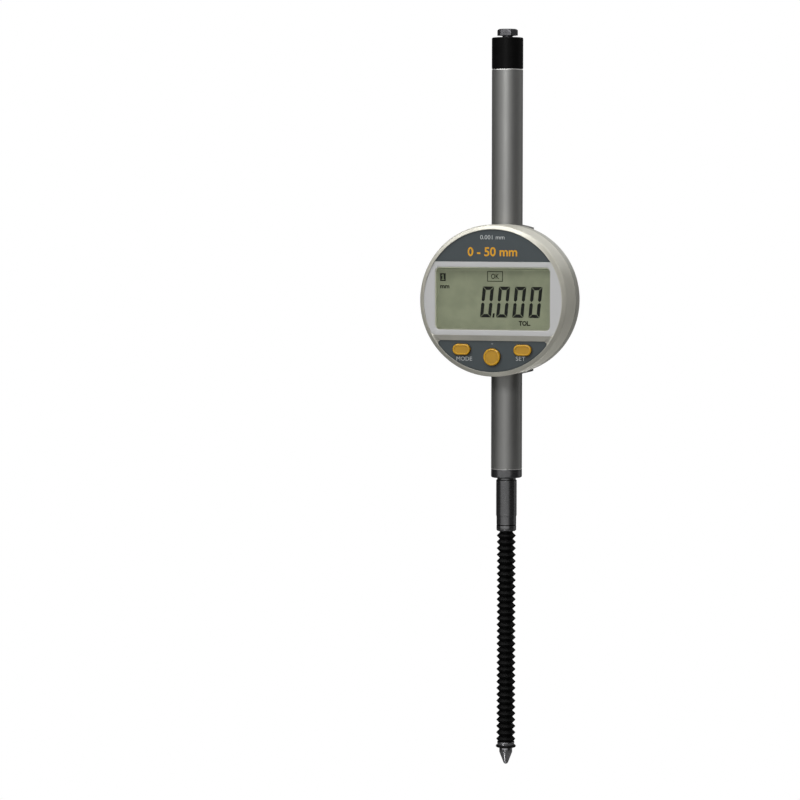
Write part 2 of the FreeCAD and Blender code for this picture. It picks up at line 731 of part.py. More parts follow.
def front_housing():
    bezel_r = HEAD_R - BEZEL_WIDTH
    outline = [
        (0, FACE), (bezel_r, FACE), (HEAD_R - BEZEL_EASE, FACE + BEZEL_DEPTH - BEZEL_EASE),
        (HEAD_R, FACE + BEZEL_DEPTH + BEZEL_EASE), (HEAD_R, HEAD_BACK),
        (HEAD_INNER_R, HEAD_BACK), (HEAD_INNER_R, WALL_BACK), (0, WALL_BACK),
    ]
    corners = [FreeCAD.Vector(r, y, HEAD_Z) for r, y in outline]
    shell = Part.Face(Part.makePolygon(corners + corners[:1])).revolve(HEAD_CENTRE, BACKWARDS, 360)
    for x, z in boss_places():
        shell = shell.fuse(disc(BOSS_R, WALL_BACK, PLATE_FRONT, x, z))
    for x, z in board_screw_places():
        shell = shell.fuse(disc(FINE_SCREW, WALL_BACK, BOARD_FRONT, x, z))
    cuts = [
        upper_pocket(PANEL_R, FACE - 1, POCKET_FLOOR, FRAME_CORNER),
        lower_pocket(PANEL_R, FACE - 1, POCKET_FLOOR, KEYPAD_CORNER),
        lens_plate(SEAT, POCKET_FLOOR - 1, WALL_BACK + 1),
        cell_doorway(0.0),
        data_port(0.0),
    ]
    for name in key_shapes(0.0):
        cuts.append(key_bar(name, CLEAR, FACE, WALL_BACK + 1))
    for x, z in boss_places():
        cuts.append(disc(FINE_SCREW / 2, PLATE_BACK - PLATE_SCREW_LENGTH - FREE, PLATE_FRONT, x, z))
    for x, z in board_screw_places():
        cuts.append(disc(FINE_SCREW / 2, WALL_BACK, BOARD_FRONT, x, z))
    return shell.cut(cuts).removeSplitter()


def cell_doorway(shrink):
    """The slot in the left wall that the coin cell slides through."""
    reach = DOOR_HALF_HEIGHT - shrink
    front = CELL_FRONT - FREE + shrink
    back = CELL_BACK + FREE - shrink
    return slab(HEAD_R / 2, front, back, -reach, reach, -HEAD_R)


def cell_door():
    wall = washer(HEAD_R, HEAD_INNER_R, CELL_FRONT - FREE, CELL_BACK + FREE)
    return wall.common(cell_doorway(SEAT))


def port_bar(start, depth, half_width, front, back):
    """A box at the data port's angle that starts at a radius and runs outwards."""
    base = FreeCAD.Vector(start, front, HEAD_Z - half_width)
    bar = Part.makeBox(depth, back - front, 2 * half_width, base)
    bar.rotate(HEAD_CENTRE, BACKWARDS, -PORT_ANGLE)
    return bar


def data_port(shrink):
    """The opening for the data plug in the lower left wall."""
    front = CELL_FRONT + shrink
    back = CELL_FRONT + PORT_HEIGHT - shrink
    return port_bar(HEAD_INNER_R - HEAD_WALL / 2, 2 * HEAD_WALL, PORT_WIDTH / 2 - shrink, front, back)


def data_port_cover():
    wall = washer(HEAD_R, HEAD_INNER_R, CELL_FRONT, CELL_FRONT + PORT_HEIGHT)
    return wall.common(data_port(SEAT))


def upper_fascia():
    return segment(PANEL_R - SEAT, PANEL_TOP, POCKET_FLOOR, FASCIA_BOTTOM + SEAT, PANEL_R, 0, None)


def display_frame():
    plate = upper_pocket(PANEL_R - SEAT, PANEL_TOP, POCKET_FLOOR, FRAME_CORNER)
    plate = plate.cut(slab(PANEL_R, PANEL_TOP, POCKET_FLOOR, FASCIA_BOTTOM, PANEL_R))
    window = rounded_slab(
        WINDOW_HALF_WIDTH, PANEL_TOP, POCKET_FLOOR, WINDOW_BOTTOM, WINDOW_TOP, WINDOW_CORNER)
    return plate.cut(window)


def window_lens():
    return lens_plate(0.0, POCKET_FLOOR, POCKET_FLOOR + LENS_THICKNESS)


def lcd_glass():
    return slab(
        WINDOW_HALF_WIDTH + LCD_LAP, LCD_FRONT, LCD_FRONT + LCD_THICKNESS,
        WINDOW_BOTTOM - LCD_LAP, WINDOW_TOP + LCD_LAP)


def lcd_reflector():
    return slab(
        WINDOW_HALF_WIDTH - LCD_LAP, REFLECTOR_FRONT, REFLECTOR_FRONT + REFLECTOR_THICKNESS,
        WINDOW_BOTTOM, WINDOW_TOP)


def keypad_panel():
    plate = lower_pocket(PANEL_R - SEAT, PANEL_TOP, POCKET_FLOOR, KEYPAD_CORNER)
    holes = [key_bar(name, CLEAR, PANEL_TOP, POCKET_FLOOR) for name in key_shapes(0.0)]
    return plate.cut(holes)


def main_board():
    board = disc(BOARD_R, BOARD_FRONT, BOARD_BACK)
    cuts = [disc(BOSS_R + FREE, BOARD_FRONT, BOARD_BACK, x, z) for x, z in boss_places()]
    cuts += [disc(FINE_SCREW / 2 + CLEAR, BOARD_FRONT, BOARD_BACK, x, z) for x, z in board_screw_places()]
    return board.cut(cuts)


def board_screws():
    return Part.makeCompound([round_screw(BOARD_BACK, WALL_BACK + FREE, x, z) for x, z in board_screw_places()])


def chip(width, depth, height, z):
    """A component on the board's back, right of the hub, its middle z above the head's centre."""
    return slab(width / 2, BOARD_BACK, BOARD_BACK + height, z - depth / 2, z + depth / 2, PROCESSOR_OFFSET)


def board_chips():
    processor = chip(PROCESSOR_SIDE, PROCESSOR_SIDE, PROCESSOR_HEIGHT, 0)
    memory = chip(MEMORY_SIDE, MEMORY_SIDE, MEMORY_HEIGHT, -MEMORY_DROP)
    flex_socket = chip(FLEX_SOCKET_WIDTH, FLEX_SOCKET_DEPTH, FLEX_SOCKET_HEIGHT, FLEX_SOCKET_RISE)
    half_width = PORT_WIDTH / 2 - CLEAR
    inner = math.sqrt((HEAD_INNER_R - CLEAR) ** 2 - half_width ** 2) - PORT_SOCKET_DEPTH
    port_socket = port_bar(inner, PORT_SOCKET_DEPTH, half_width, BOARD_BACK, BOARD_BACK + PORT_SOCKET_HEIGHT)
    return Part.makeCompound([processor, memory, flex_socket, port_socket])


def coin_cell():
    return disc(CELL_DIAMETER / 2, CELL_FRONT, CELL_BACK, CELL_X, 0)


def cell_clip():
    reach = CELL_DIAMETER / 2 + CLEAR
    outer = reach + CELL_CLIP_THICKNESS
    half = CELL_CLIP_WIDTH / 2
    strap_front = CELL_BACK + SEAT
    strap_back = strap_front + CELL_CLIP_THICKNESS
    strap = slab(half, BOARD_BACK, strap_back, -outer, outer, CELL_X)
    return strap.cut(slab(half, BOARD_BACK, strap_front, -reach, reach, CELL_X))


def back_plate():
    plate = washer(HEAD_INNER_R - SEAT, HUB_R + SEAT, PLATE_FRONT, PLATE_BACK)
    cuts = [disc(FINE_SCREW / 2, PLATE_FRONT, PLATE_BACK, x, z) for x, z in boss_places()]
    cuts.append(stop_pin_bar())
    return plate.cut(cuts)


def round_screw(under_head, end, x, z):
    """A cheese-head screw along Y whose head stands behind the plane under_head."""
    head = disc(FINE_SCREW, under_head, under_head + FINE_SCREW / 2, x, z)
    return head.fuse(disc(FINE_SCREW / 2, end, under_head, x, z)).removeSplitter()


def back_plate_screws():
    end = PLATE_BACK - PLATE_SCREW_LENGTH
    return Part.makeCompound([round_screw(PLATE_BACK, end, x, z) for x, z in boss_places()])


def stop_pin_bar():
    return disc(STOP_PIN_DIAMETER / 2, PLATE_FRONT, PLATE_BACK + STOP_PIN_LENGTH, -STOP_RADIUS, 0)


def swivel_stop_pin():
    return stop_pin_bar()


def friction_washer():
    return washer(SHOULDER_R, HUB_R + SEAT, PLATE_BACK + SEAT, SHOULDER_FRONT)


def retaining_ring():
    """A flange in front of the back plate, with a threaded sleeve in the hub's bore."""
    front = HUB_FRONT - RETAINER_THICKNESS
    sleeve_r = HUB_R - HUB_WALL - RUNNING
    flange = washer(SHOULDER_R, sleeve_r - RETAINER_THICKNESS, front, HUB_FRONT)
    sleeve = washer(sleeve_r, sleeve_r - RETAINER_THICKNESS, front, HUB_FRONT + RETAINER_SLEEVE)
    return flange.fuse(sleeve).removeSplitter()


def swivel_seal():
    outer = HEAD_R - REAR_EDGE
    return washer(outer, outer - SEAL_WIDTH, RING_FRONT - SEAM_WIDTH + SLIDING, RING_FRONT).cut(tube_bore())


def spine(front, back):
    """The block across the back that holds the tube, with its ends on the head's circle."""
    return slab(SPINE_HALF_WIDTH, front, back, -HEAD_R, HEAD_R).common(disc(HEAD_R, front, back))


def tube_bore():
    return rod(TUBE_R + RUNNING, HEAD_Z - HEAD_R - 1, HEAD_Z + HEAD_R + 1)


def cover_screw_places():
    return [(side * COVER_SCREW_X, end * COVER_SCREW_Z) for side in (-1, 1) for end in (-1, 1)]


def cover_screw_shapes():
    length = SPINE_REAR - SPINE_SPLIT + 4 * COVER_SCREW
    plane = SPINE_REAR - COVER_SCREW_SINK
    return [flush_screw(COVER_SCREW, length, plane, -1, x, z) for x, z in cover_screw_places()]


def cover_screw_mouths():
    radius = COVER_SCREW * SCREW_HEAD_RATIO / 2
    return [disc(radius, SPINE_REAR - COVER_SCREW_SINK, SPINE_REAR, x, z) for x, z in cover_screw_places()]


def stop_posts():
    """Two posts that the stop pin meets at the ends of the swivel."""
    meeting = math.degrees((STOP_PIN_DIAMETER + STOP_POST_DIAMETER) / 2 / STOP_RADIUS)
    angle = 180 - SWIVEL_LIMIT - meeting - 0.3
    posts = []
    for side in (-1, 1):
        x, z = on_circle(STOP_RADIUS, side * angle)
        posts.append(disc(STOP_POST_DIAMETER / 2, PLATE_BACK + SEAT + FREE, FLOOR_FRONT, x, z))
    return posts


def rear_body():
    drum = disc(HEAD_R, RING_FRONT, HEAD_REAR)
    rear_rim = [
        e for e in drum.Edges
        if e.BoundBox.YLength < 0.001 and abs(e.BoundBox.YMin - HEAD_REAR) < 0.001
    ]
    drum = drum.makeChamfer(REAR_EDGE, rear_rim)
    drum = drum.cut(disc(HEAD_R - REAR_WALL, RING_FRONT, FLOOR_FRONT))
    nose = spine(SPINE_FRONT, RING_FRONT).common(disc(HEAD_R - REAR_WALL - SEAT, SPINE_FRONT, RING_FRONT))
    keel = spine(RING_FRONT, SPINE_SPLIT)
    hub = disc(HUB_R, HUB_FRONT, FLOOR_FRONT)
    shoulder = disc(SHOULDER_R, SHOULDER_FRONT, FLOOR_FRONT)
    casting = drum.fuse([nose, keel, hub, shoulder] + stop_posts())
    hollow = disc(HUB_R - HUB_WALL, HUB_FRONT, SPINE_FRONT)
    return casting.cut([hollow, tube_bore(), read_window(HUB_FRONT)] + cover_screw_shapes()).removeSplitter()


def back_cover():
    cover = spine(SPINE_SPLIT, SPINE_REAR)
    rim = [
        e for e in cover.Edges
        if e.BoundBox.YLength < 0.001 and abs(e.BoundBox.YMin - SPINE_REAR) < 0.001
    ]
    cover = cover.makeChamfer(SPINE_BEVEL, rim)
    return cover.cut([tube_bore()] + cover_screw_shapes() + cover_screw_mouths())


def back_cover_screws():
    return Part.makeCompound(cover_screw_shapes())


def read_head_board():
    half_length = READ_HEAD_LENGTH / 2
    return slab(READ_HEAD_WIDTH / 2, READ_HEAD_FRONT, READ_HEAD_BACK, -half_length, half_length)


def read_head_holder():
    reach = READ_HEAD_LENGTH / 2 + TUBE_WINDOW_SPARE - CLEAR
    return slab(READ_HEAD_WIDTH / 2, SPINE_FRONT - FREE, READ_HEAD_FRONT, -reach, reach)


NODES = [
    clamping_stem, stem_end_ring, lower_bush, upper_bush, guide_pin, tube_collar, guide_tube,
    top_cap, cap_bolt, buffer_ring, return_spring, bellows,
    rear_body, back_cover, back_cover_screws, swivel_seal, friction_washer, retaining_ring,
    read_head_board, read_head_holder,
    spindle, stop_ring, spindle_head, scale_strip, bellows_clip, clip_oring, contact_point,
    front_housing, upper_fascia, display_frame, window_lens, lcd_glass, lcd_reflector, keypad_panel,
    main_board, board_screws, board_chips, snap_domes, coin_cell, cell_clip, cell_door,
    data_port_cover, back_plate, back_plate_screws, swivel_stop_pin,
    mode_key, set_key, centre_key,
]

os.makedirs("parts", exist_ok=True)
for node in NODES:
    node().exportStep(f"parts/{node.__name__}.step")
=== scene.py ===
import json
import math

import bmesh
import bpy
from mathutils import Matrix, Vector


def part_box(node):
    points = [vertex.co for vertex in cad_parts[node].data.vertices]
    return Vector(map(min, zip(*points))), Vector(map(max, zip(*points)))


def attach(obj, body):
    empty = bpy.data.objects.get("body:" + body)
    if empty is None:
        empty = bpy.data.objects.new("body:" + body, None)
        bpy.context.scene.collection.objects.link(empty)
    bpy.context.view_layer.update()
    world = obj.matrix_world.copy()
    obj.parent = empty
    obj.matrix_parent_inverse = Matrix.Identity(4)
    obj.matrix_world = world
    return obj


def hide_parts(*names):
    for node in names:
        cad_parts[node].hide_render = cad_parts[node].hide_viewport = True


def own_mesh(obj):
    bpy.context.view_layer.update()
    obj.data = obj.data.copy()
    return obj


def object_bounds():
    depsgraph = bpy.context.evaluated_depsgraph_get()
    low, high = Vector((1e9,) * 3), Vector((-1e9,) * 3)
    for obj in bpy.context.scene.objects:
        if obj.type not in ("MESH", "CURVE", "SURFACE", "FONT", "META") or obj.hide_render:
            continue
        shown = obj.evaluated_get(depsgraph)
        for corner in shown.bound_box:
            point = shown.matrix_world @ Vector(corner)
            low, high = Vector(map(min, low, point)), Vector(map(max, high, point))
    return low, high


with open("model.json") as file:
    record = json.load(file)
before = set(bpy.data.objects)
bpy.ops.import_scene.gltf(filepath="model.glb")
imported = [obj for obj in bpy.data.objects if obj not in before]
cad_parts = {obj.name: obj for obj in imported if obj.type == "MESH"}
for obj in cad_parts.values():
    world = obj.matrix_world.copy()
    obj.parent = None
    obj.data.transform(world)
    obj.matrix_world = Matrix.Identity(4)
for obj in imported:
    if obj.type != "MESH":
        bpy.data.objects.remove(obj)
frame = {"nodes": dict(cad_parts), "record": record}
CAD_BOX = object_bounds()
MM = 0.001

# Turned pieces, from the top down: radii from the plunger axis and heights, in millimetres
LATHE_STEPS = 96
EDGE_ROUND = 0.06
CAP_ROUND = 0.5
BOLT_HOLE_R = 2.02
CAP_SPIGOT_GAP = 0.02
TUBE_BORE_R = 4.5
TUBE_EDGE = 0.4
COLLAR_ROUND = 0.6
COLLAR_LAP = 0.7
LAP_WALL = 0.6
STEM_R = 4.0
STEM_HALF = 7.0
STEM_CHAMFER = 0.3
STEM_STEP = 0.1
NECK_R = 3.6
BUSH_SEAT_R = 2.82
SKIRT_CHAMFER = 0.15
SPIGOT_STEP = 0.5
GROOVE_HALF = 0.22
RING_CHAMFER = 0.4
RING_BORE_GAP = 0.05
RING_SEAT_STEP = 0.75
RING_SEAT_DEPTH = 1.5

# Bellows, its clip, the contact point and the return spring, in millimetres
FOLDS = 33
FOLD_PITCH = 2.5
FOLD_ROUND = 0.13
FIRST_PEAK_DROP = 1.9
BELLOWS_VALLEY_R = 2.55
BELLOWS_BORE_R = 2.2
BELLOWS_FLANGE_R = 3.3
BELLOWS_FLANGE = 0.4
DUSTY_FROM_R = 3.3
DUSTY_FULL_R = 3.75
CUFF_R = 3.35
CUFF_NECK_R = 2.95
CUFF_HEIGHT = 0.55
CUFF_CHAMFER = 0.18
CLIP_BORE_R = 2.02
CLIP_SLEEVE_R = 2.52
CLIP_RING = 0.86
CLIP_LIP = 0.42
CLIP_GAP = 0.01
ORING_SEAT_R = 2.54
POINT_SHANK_R = 1.25
POINT_BARREL = 1.9
POINT_R = 2.525
POINT_ROUND = 0.04
BALL_R = 1.0
CONE_LEAN = math.radians(21.0)
SPRING_TURNS = 26
SPRING_TURN_STEPS = 24
SPRING_WIRE_R = 0.25
SPRING_WIRE_SIDES = 8

# Housing: radii from the head's axis, heights from its centre, depths along Y, in millimetres
BEZEL_FROM_R = 27.3
BEZEL_DEPTH = 2.0
BEZEL_ROUND = 0.24
BAR_ROUND = 0.3
BAR_LOW = -15.35
BAR_HIGH = -13.15
BAR_END_R = 27.0
BAR_BLEND = 0.25
LEVEL_TOLERANCE = 0.02
EDGE_TOLERANCE = 0.15
REAR_RIM_FROM_R = 28.2
REAR_ROUND = 0.2
SPINE_FROM_Y = 0.2
SPINE_FULL_Y = 0.35
SPINE_FOOT_R = 28.6
SPINE_FOOT_BAND = 0.8
SPINE_FOOT_LENGTH = 0.6
FRAME_ROUND = 0.13
BOLT_ROUND = 0.12
PANEL_EDGE_FROM_R = 26.3
PANEL_EDGE_FULL_R = 27.1

# Display window and keys, in millimetres
WINDOW_CORNER = 1.8
LENS_LAP = 0.55
RIM_LAP = 0.08
RIM_WIDTH = 0.5
SHADE_FROM_Z = 9.0
SHADE_FULL_Z = 13.2
PILL_STEPS = 48
KEY_FLANGE = 0.55
KEY_FLANGE_THICKNESS = 0.5
KEY_CAP_DEPTH = 2.65
KEY_LEG_R = 1.0
KEY_RIM_ROUND = 0.38
KEY_RIM_WIDTH = 0.2
KEY_STEP_WIDTH = 0.12
KEY_DISH = 0.16
KEY_SHADOW_DRIFT = 0.28
KEY_SHADOW_REACH = 0.9

# Printing: places are (x, height) from the head's centre, in millimetres
PRINT_HEIGHT = 0.012
DIGIT_HEIGHT = 11.8
DIGIT_WIDTH = 4.4
DIGIT_PITCH = 6.35
DIGIT_STROKE = 1.28
DIGIT_GAP = 0.12
DIGIT_LEFT = -5.28
DIGIT_BOTTOM = -6.38
DIGIT_SLANT = math.tan(math.radians(5.6))
DIGITS = 4
SIGN_BOX = (-2.43, 3.75, 7.28, 11.3)
SIGN_STROKE = 0.3
CHANNEL_BOX = [(-21.13, 7.35), (-18.9, 7.35), (-18.9, 10.33), (-21.13, 10.33)]
CHANNEL_NUMBER = [
    [(-20.2, 7.8), (-19.75, 7.8), (-19.75, 9.9), (-20.2, 9.9)],
    [(-20.6, 9.2), (-20.2, 9.5), (-20.2, 9.9), (-20.6, 9.55)],
    [(-20.5, 7.8), (-19.45, 7.8), (-19.45, 8.15), (-20.5, 8.15)],
]
KEY_MARK = [(-0.45, -16.1), (0.0, -16.8), (0.45, -16.1)]

# The decimal point, from the lower left of the first figure, in millimetres
DECIMAL_POINT = [(4.85, 0.0), (5.65, 0.0), (5.85, 1.6), (5.1, 1.6)]

# The brightness of the surroundings as the object is lit by them, and the floor in metres
AMBIENT = 0.032
FLOOR_DROP = 0.25
FLOOR_HALF = 4.0


CORNERS = {name: [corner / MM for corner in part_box(name)] for name in frame["nodes"]}


def low(node):
    """The lowest corner of a node in millimetres."""
    return CORNERS[node][0]


def high(node):
    """The highest corner of a node in millimetres."""
    return CORNERS[node][1]


HEAD_Z = (low("front_housing").z + high("front_housing").z) / 2


def paint(red, green, blue):
    """A colour given as 0 to 255 values, made linear."""
    def linear(value):
        share = value / 255
        return share / 12.92 if share <= 0.04045 else ((share + 0.055) / 1.055) ** 2.4
    return (linear(red), linear(green), linear(blue), 1.0)


class Wire:
    """An output of a node; arithmetic on it adds Math nodes."""

    def __init__(self, finish, socket):
        self.finish = finish
        self.socket = socket

    def math(self, operation, *values, clamp=False):
        return self.finish.node("Math", {"operation": operation, "use_clamp": clamp}, dict(enumerate(values)))

    def __add__(self, other):
        return self.math("ADD", self, other)

    def __sub__(self, other):
        return self.math("SUBTRACT", self, other)

    def __rsub__(self, other):
        return self.math("SUBTRACT", other, self)

    def __mul__(self, other):
        return self.math("MULTIPLY", self, other)

    def __truediv__(self, other):
        return self.math("DIVIDE", self, other)

    def __pow__(self, other):
        return self.math("POWER", self, other)

    __radd__ = __add__
    __rmul__ = __mul__

    def clipped(self):
        return self.math("ADD", self, 0.0, clamp=True)

    def absolute(self):
        return self.math("ABSOLUTE", self)

    def at_least(self, floor):
        return self.math("MAXIMUM", self, floor)

    def rise(self, start, end):
        """0 before start, 1 after end, with a soft step between them."""
        spans = {"Value": self, "From Min": start, "From Max": end}
        return self.finish.node("MapRange", {"interpolation_type": "SMOOTHSTEP"}, spans)


class Finish:
    """A procedural material; patterns are laid out in millimetres on Object coordinates."""

    def __init__(self, name, colour, roughness=0.5, metallic=0.0, **fixed):
        self.material = bpy.data.materials.new(name + "_finish")
        self.material.use_nodes = True
        self.tree = self.material.node_tree
        self.shader = self.tree.nodes["Principled BSDF"]
        self.colour = colour
        self.feed(Base_Color=colour, Roughness=roughness, Metallic=metallic, **fixed)
        self.place = self.node("TexCoord", output="Object")

    def node(self, kind, settings=None, sockets=None, output=0):
        made = self.tree.nodes.new("ShaderNode" + kind)
        for key, value in (settings or {}).items():
            setattr(made, key, value)
        for key, value in (sockets or {}).items():
            self.join(value, made.inputs[key])
        return Wire(self, made.outputs[output])

    def join(self, value, socket):
        if isinstance(value, Wire):
            self.tree.links.new(value.socket, socket)
        else:
            socket.default_value = value

    def feed(self, **sockets):
        """Sets or links the shader's sockets; an underscore in a name stands for a space."""
        for key, value in sockets.items():
            self.join(value, self.shader.inputs[key.replace("_", " ")])

    def noise(self, grains, stretch=(1, 1, 1), detail=2.0):
        """Noise with so many grains per millimetre, more or fewer along each axis."""
        scale = [grains / MM * share for share in stretch]
        at = self.node("Mapping", {}, {"Vector": self.place, "Scale": scale})
        return self.node("TexNoise", {}, {"Vector": at, "Scale": 1.0, "Detail": detail})

    def mix(self, share, start, end):
        return self.node("Mix", {"data_type": "RGBA"}, {0: share, 6: start, 7: end}, output=2)

    def shaded(self, share, depth=0.25):
        """The finish's own colour, darker by depth where share is 1."""
        dark = tuple(part * (1 - depth) for part in self.colour[:3]) + (1.0,)
        return self.mix(share, self.colour, dark)

    def bump(self, height, relief):
        """A normal for a relief of so many millimetres."""
        return self.node("Bump", {}, {"Strength": 1.0, "Distance": relief * MM, "Height": height})

    def axis(self, letter):
        """One coordinate in millimetres."""
        parts = self.node("SeparateXYZ", {}, {"Vector": self.place}, output=letter)
        return parts * (1 / MM)

    def head_radius(self):
        """The distance from the head's axis in millimetres."""
        across = self.axis("X")
        up = self.axis("Z") - HEAD_Z
        return (across * across + up * up) ** 0.5


def turned_steel(name, colour, roughness, grain=0.10, relief=0.0035, groove=None):
    """Ground steel with fine rings and faint patches from handling, and painted shade that darkens a groove
    at one level.
    """
    finish = Finish(name, colour, metallic=0.92)
    rings = finish.noise(1.0, (0.6, 0.6, 26.0), 3.0)
    patches = finish.noise(0.16, (1, 1, 0.5), 3.0)
    steel = finish.shaded(patches.rise(0.35, 0.7) * 0.6 + rings * 0.2, grain * 1.6)
    if groove is not None:
        # Painted shade: the groove at the given level is made nearly black.
        groove_painted_shade = 1 - (finish.axis("Z") - groove).absolute().rise(GROOVE_HALF * 0.8, GROOVE_HALF)
        steel = finish.mix(groove_painted_shade, steel, paint(10, 10, 10))
    finish.feed(
        Base_Color=steel,
        Roughness=rings * 0.10 + patches * 0.07 + (roughness - 0.085),
        Normal=finish.bump(rings, relief))
    return finish


def satin_tube():
    """Drawn steel with a satin grind along its length; its rounded turned ends carry a painted highlight."""
    finish = Finish("satin_tube", paint(132, 132, 130), metallic=0.75)
    lines = finish.noise(1.0, (9.0, 9.0, 0.16), 3.0)
    patches = finish.noise(0.12, (1, 1, 0.35), 4.0)
    level = finish.axis("Z")
    # Painted highlight: the rounded top end and the end above the collar are made pale.
    upper_edge = level.rise(high("guide_tube").z - TUBE_EDGE, high("guide_tube").z - 0.5 * TUBE_EDGE)
    lap = low("guide_tube").z + COLLAR_LAP
    lower_edge = 1 - level.rise(lap + 0.7 * TUBE_EDGE, lap + 1.1 * TUBE_EDGE)
    satin = finish.shaded(patches.rise(0.3, 0.75) * 0.7 + lines * 0.3, 0.10)
    finish.feed(
        Base_Color=finish.mix((upper_edge + lower_edge).clipped(), satin, paint(225, 225, 222)),
        Roughness=lines * 0.10 + patches * 0.08 + 0.35,
        Normal=finish.bump(lines, 0.003))
    return finish


def sanded_black(name, colour, roughness, grains, relief):
    """A dull black surface with an even fine grain."""
    finish = Finish(name, colour, Specular_IOR_Level=0.05)
    grain = finish.noise(grains, detail=3.0)
    wear = finish.noise(0.3, detail=3.0)
    worn = tuple(2.2 * part for part in colour[:3]) + (1.0,)
    finish.feed(
        Base_Color=finish.mix(wear.rise(0.45, 0.8) * 0.35, colour, worn),
        Roughness=grain * 0.16 + (roughness - 0.08),
        Normal=finish.bump(grain, relief))
    return finish


def bellows_rubber():
    """Soft black rubber, a little dusty where the folds stand out."""
    finish = Finish("bellows_rubber", paint(6, 6, 6), Specular_IOR_Level=0.06)
    grain = finish.noise(5.0, detail=3.0)
    across = finish.axis("X")
    deep = finish.axis("Y")
    radius = (across * across + deep * deep) ** 0.5
    dust = radius.rise(DUSTY_FROM_R, DUSTY_FULL_R) * finish.noise(0.8, detail=3.0).rise(0.35, 0.7)
    finish.feed(
        Base_Color=finish.mix(dust * 0.5, paint(4, 4, 4), paint(16, 16, 16)),
        Roughness=grain * 0.12 + dust * 0.12 + 0.44,
        Normal=finish.bump(grain, 0.006))
    return finish


def housing_coat():
    """Cast housing with a fine blasted and lacquered surface; painted shade darkens the bar under the
    display.
    """
    finish = Finish("housing_coat", paint(178, 176, 165), metallic=0.3)
    grain = finish.noise(7.0, detail=2.0)
    turning = finish.noise(1.0, (0.2, 9.0, 0.2), 3.0)
    patches = finish.noise(0.09, detail=4.0)
    level = finish.axis("Z") - HEAD_Z
    # Painted shade: the bar between the display and the keys is made darker.
    above = level.rise(BAR_LOW - BAR_BLEND, BAR_LOW + BAR_BLEND)
    below = 1 - level.rise(BAR_HIGH - BAR_BLEND, BAR_HIGH + BAR_BLEND)
    bar = above * below * (1 - finish.head_radius().rise(BAR_END_R - 0.4, BAR_END_R + 0.4))
    finish.feed(
        Base_Color=finish.shaded((patches.rise(0.3, 0.75) * 0.15 + grain * 0.08 + bar * 0.75).clipped(), 0.6),
        Roughness=grain * 0.10 + turning * 0.06 + patches * 0.06 + 0.29,
        Normal=finish.bump(grain * 0.6 + turning, 0.004))
    return finish


def rear_coat():
    """The rear ring is a little darker than the front; spine and cover are dark grey, and painted shadow
    makes the spine's foot black.
    """
    finish = Finish("rear_coat", paint(150, 149, 141), metallic=0.25)
    grain = finish.noise(7.0, detail=2.0)
    patches = finish.noise(0.09, detail=4.0)
    spine = finish.axis("Y").rise(SPINE_FROM_Y, SPINE_FULL_Y)
    lower = 1 - (finish.axis("Z") - HEAD_Z).rise(-1.0, 1.0)
    # Painted shadow: the spine's lower end beyond the head's round is made black.
    foot_painted_shadow = spine * lower * finish.head_radius().rise(SPINE_FOOT_R - 0.05, SPINE_FOOT_R)
    ring_colour = finish.shaded(patches * 0.5 + grain * 0.3, 0.2)
    spine_colour = finish.mix(patches, paint(80, 80, 79), paint(90, 90, 88))
    finish.feed(
        Base_Color=finish.mix(foot_painted_shadow, finish.mix(spine, ring_colour, spine_colour), paint(8, 8, 8)),
        Roughness=grain * 0.12 + spine * 0.08 + 0.33,
        Normal=finish.bump(grain, 0.004))
    return finish


def dark_panel():
    """Slate printed foil, with painted shade along its round edge and a painted shadow round each key,
    shifted down and to the right.
    """
    finish = Finish("dark_panel", paint(52, 60, 63), Specular_IOR_Level=0.4)
    grain = finish.noise(9.0, detail=2.0)
    # Painted shade: the foil darkens towards its round edge.
    edge = finish.head_radius().rise(PANEL_EDGE_FROM_R, PANEL_EDGE_FULL_R)
    clouds = finish.noise(0.12, detail=3.0)
    # Painted shadow: a soft dark ring round each key, shifted down and to the right.
    key_painted_shadow = 0.0
    for node in ("mode_key", "set_key", "centre_key"):
        middle = (low(node) + high(node)) / 2
        size = high(node) - low(node)
        half_bar = (size.x - size.z) / 2
        across = (finish.axis("X") - middle.x - KEY_SHADOW_DRIFT).absolute()
        beyond = (across - half_bar).at_least(0.0)
        up = finish.axis("Z") - middle.z + KEY_SHADOW_DRIFT
        gap = (beyond * beyond + up * up) ** 0.5 - (size.z / 2 - KEY_FLANGE)
        key_painted_shadow = key_painted_shadow + (1 - gap.rise(-0.1, KEY_SHADOW_REACH))
    finish.feed(
        Base_Color=finish.shaded((edge * 0.5 + clouds * 0.2 + key_painted_shadow).clipped(), 0.62),
        Roughness=grain * 0.12 + 0.40,
        Normal=finish.bump(grain, 0.002))
    return finish


def silver_frame():
    """Silver grey lacquer with a very fine flake."""
    finish = Finish("silver_frame", paint(175, 175, 175), metallic=0.15)
    flake = finish.noise(14.0, detail=2.0)
    clouds = finish.noise(0.10, detail=3.0)
    finish.feed(
        Base_Color=finish.shaded(flake * 0.5 + clouds * 0.4, 0.10),
        Roughness=flake * 0.14 + 0.38,
        Normal=finish.bump(flake, 0.0015))
    return finish


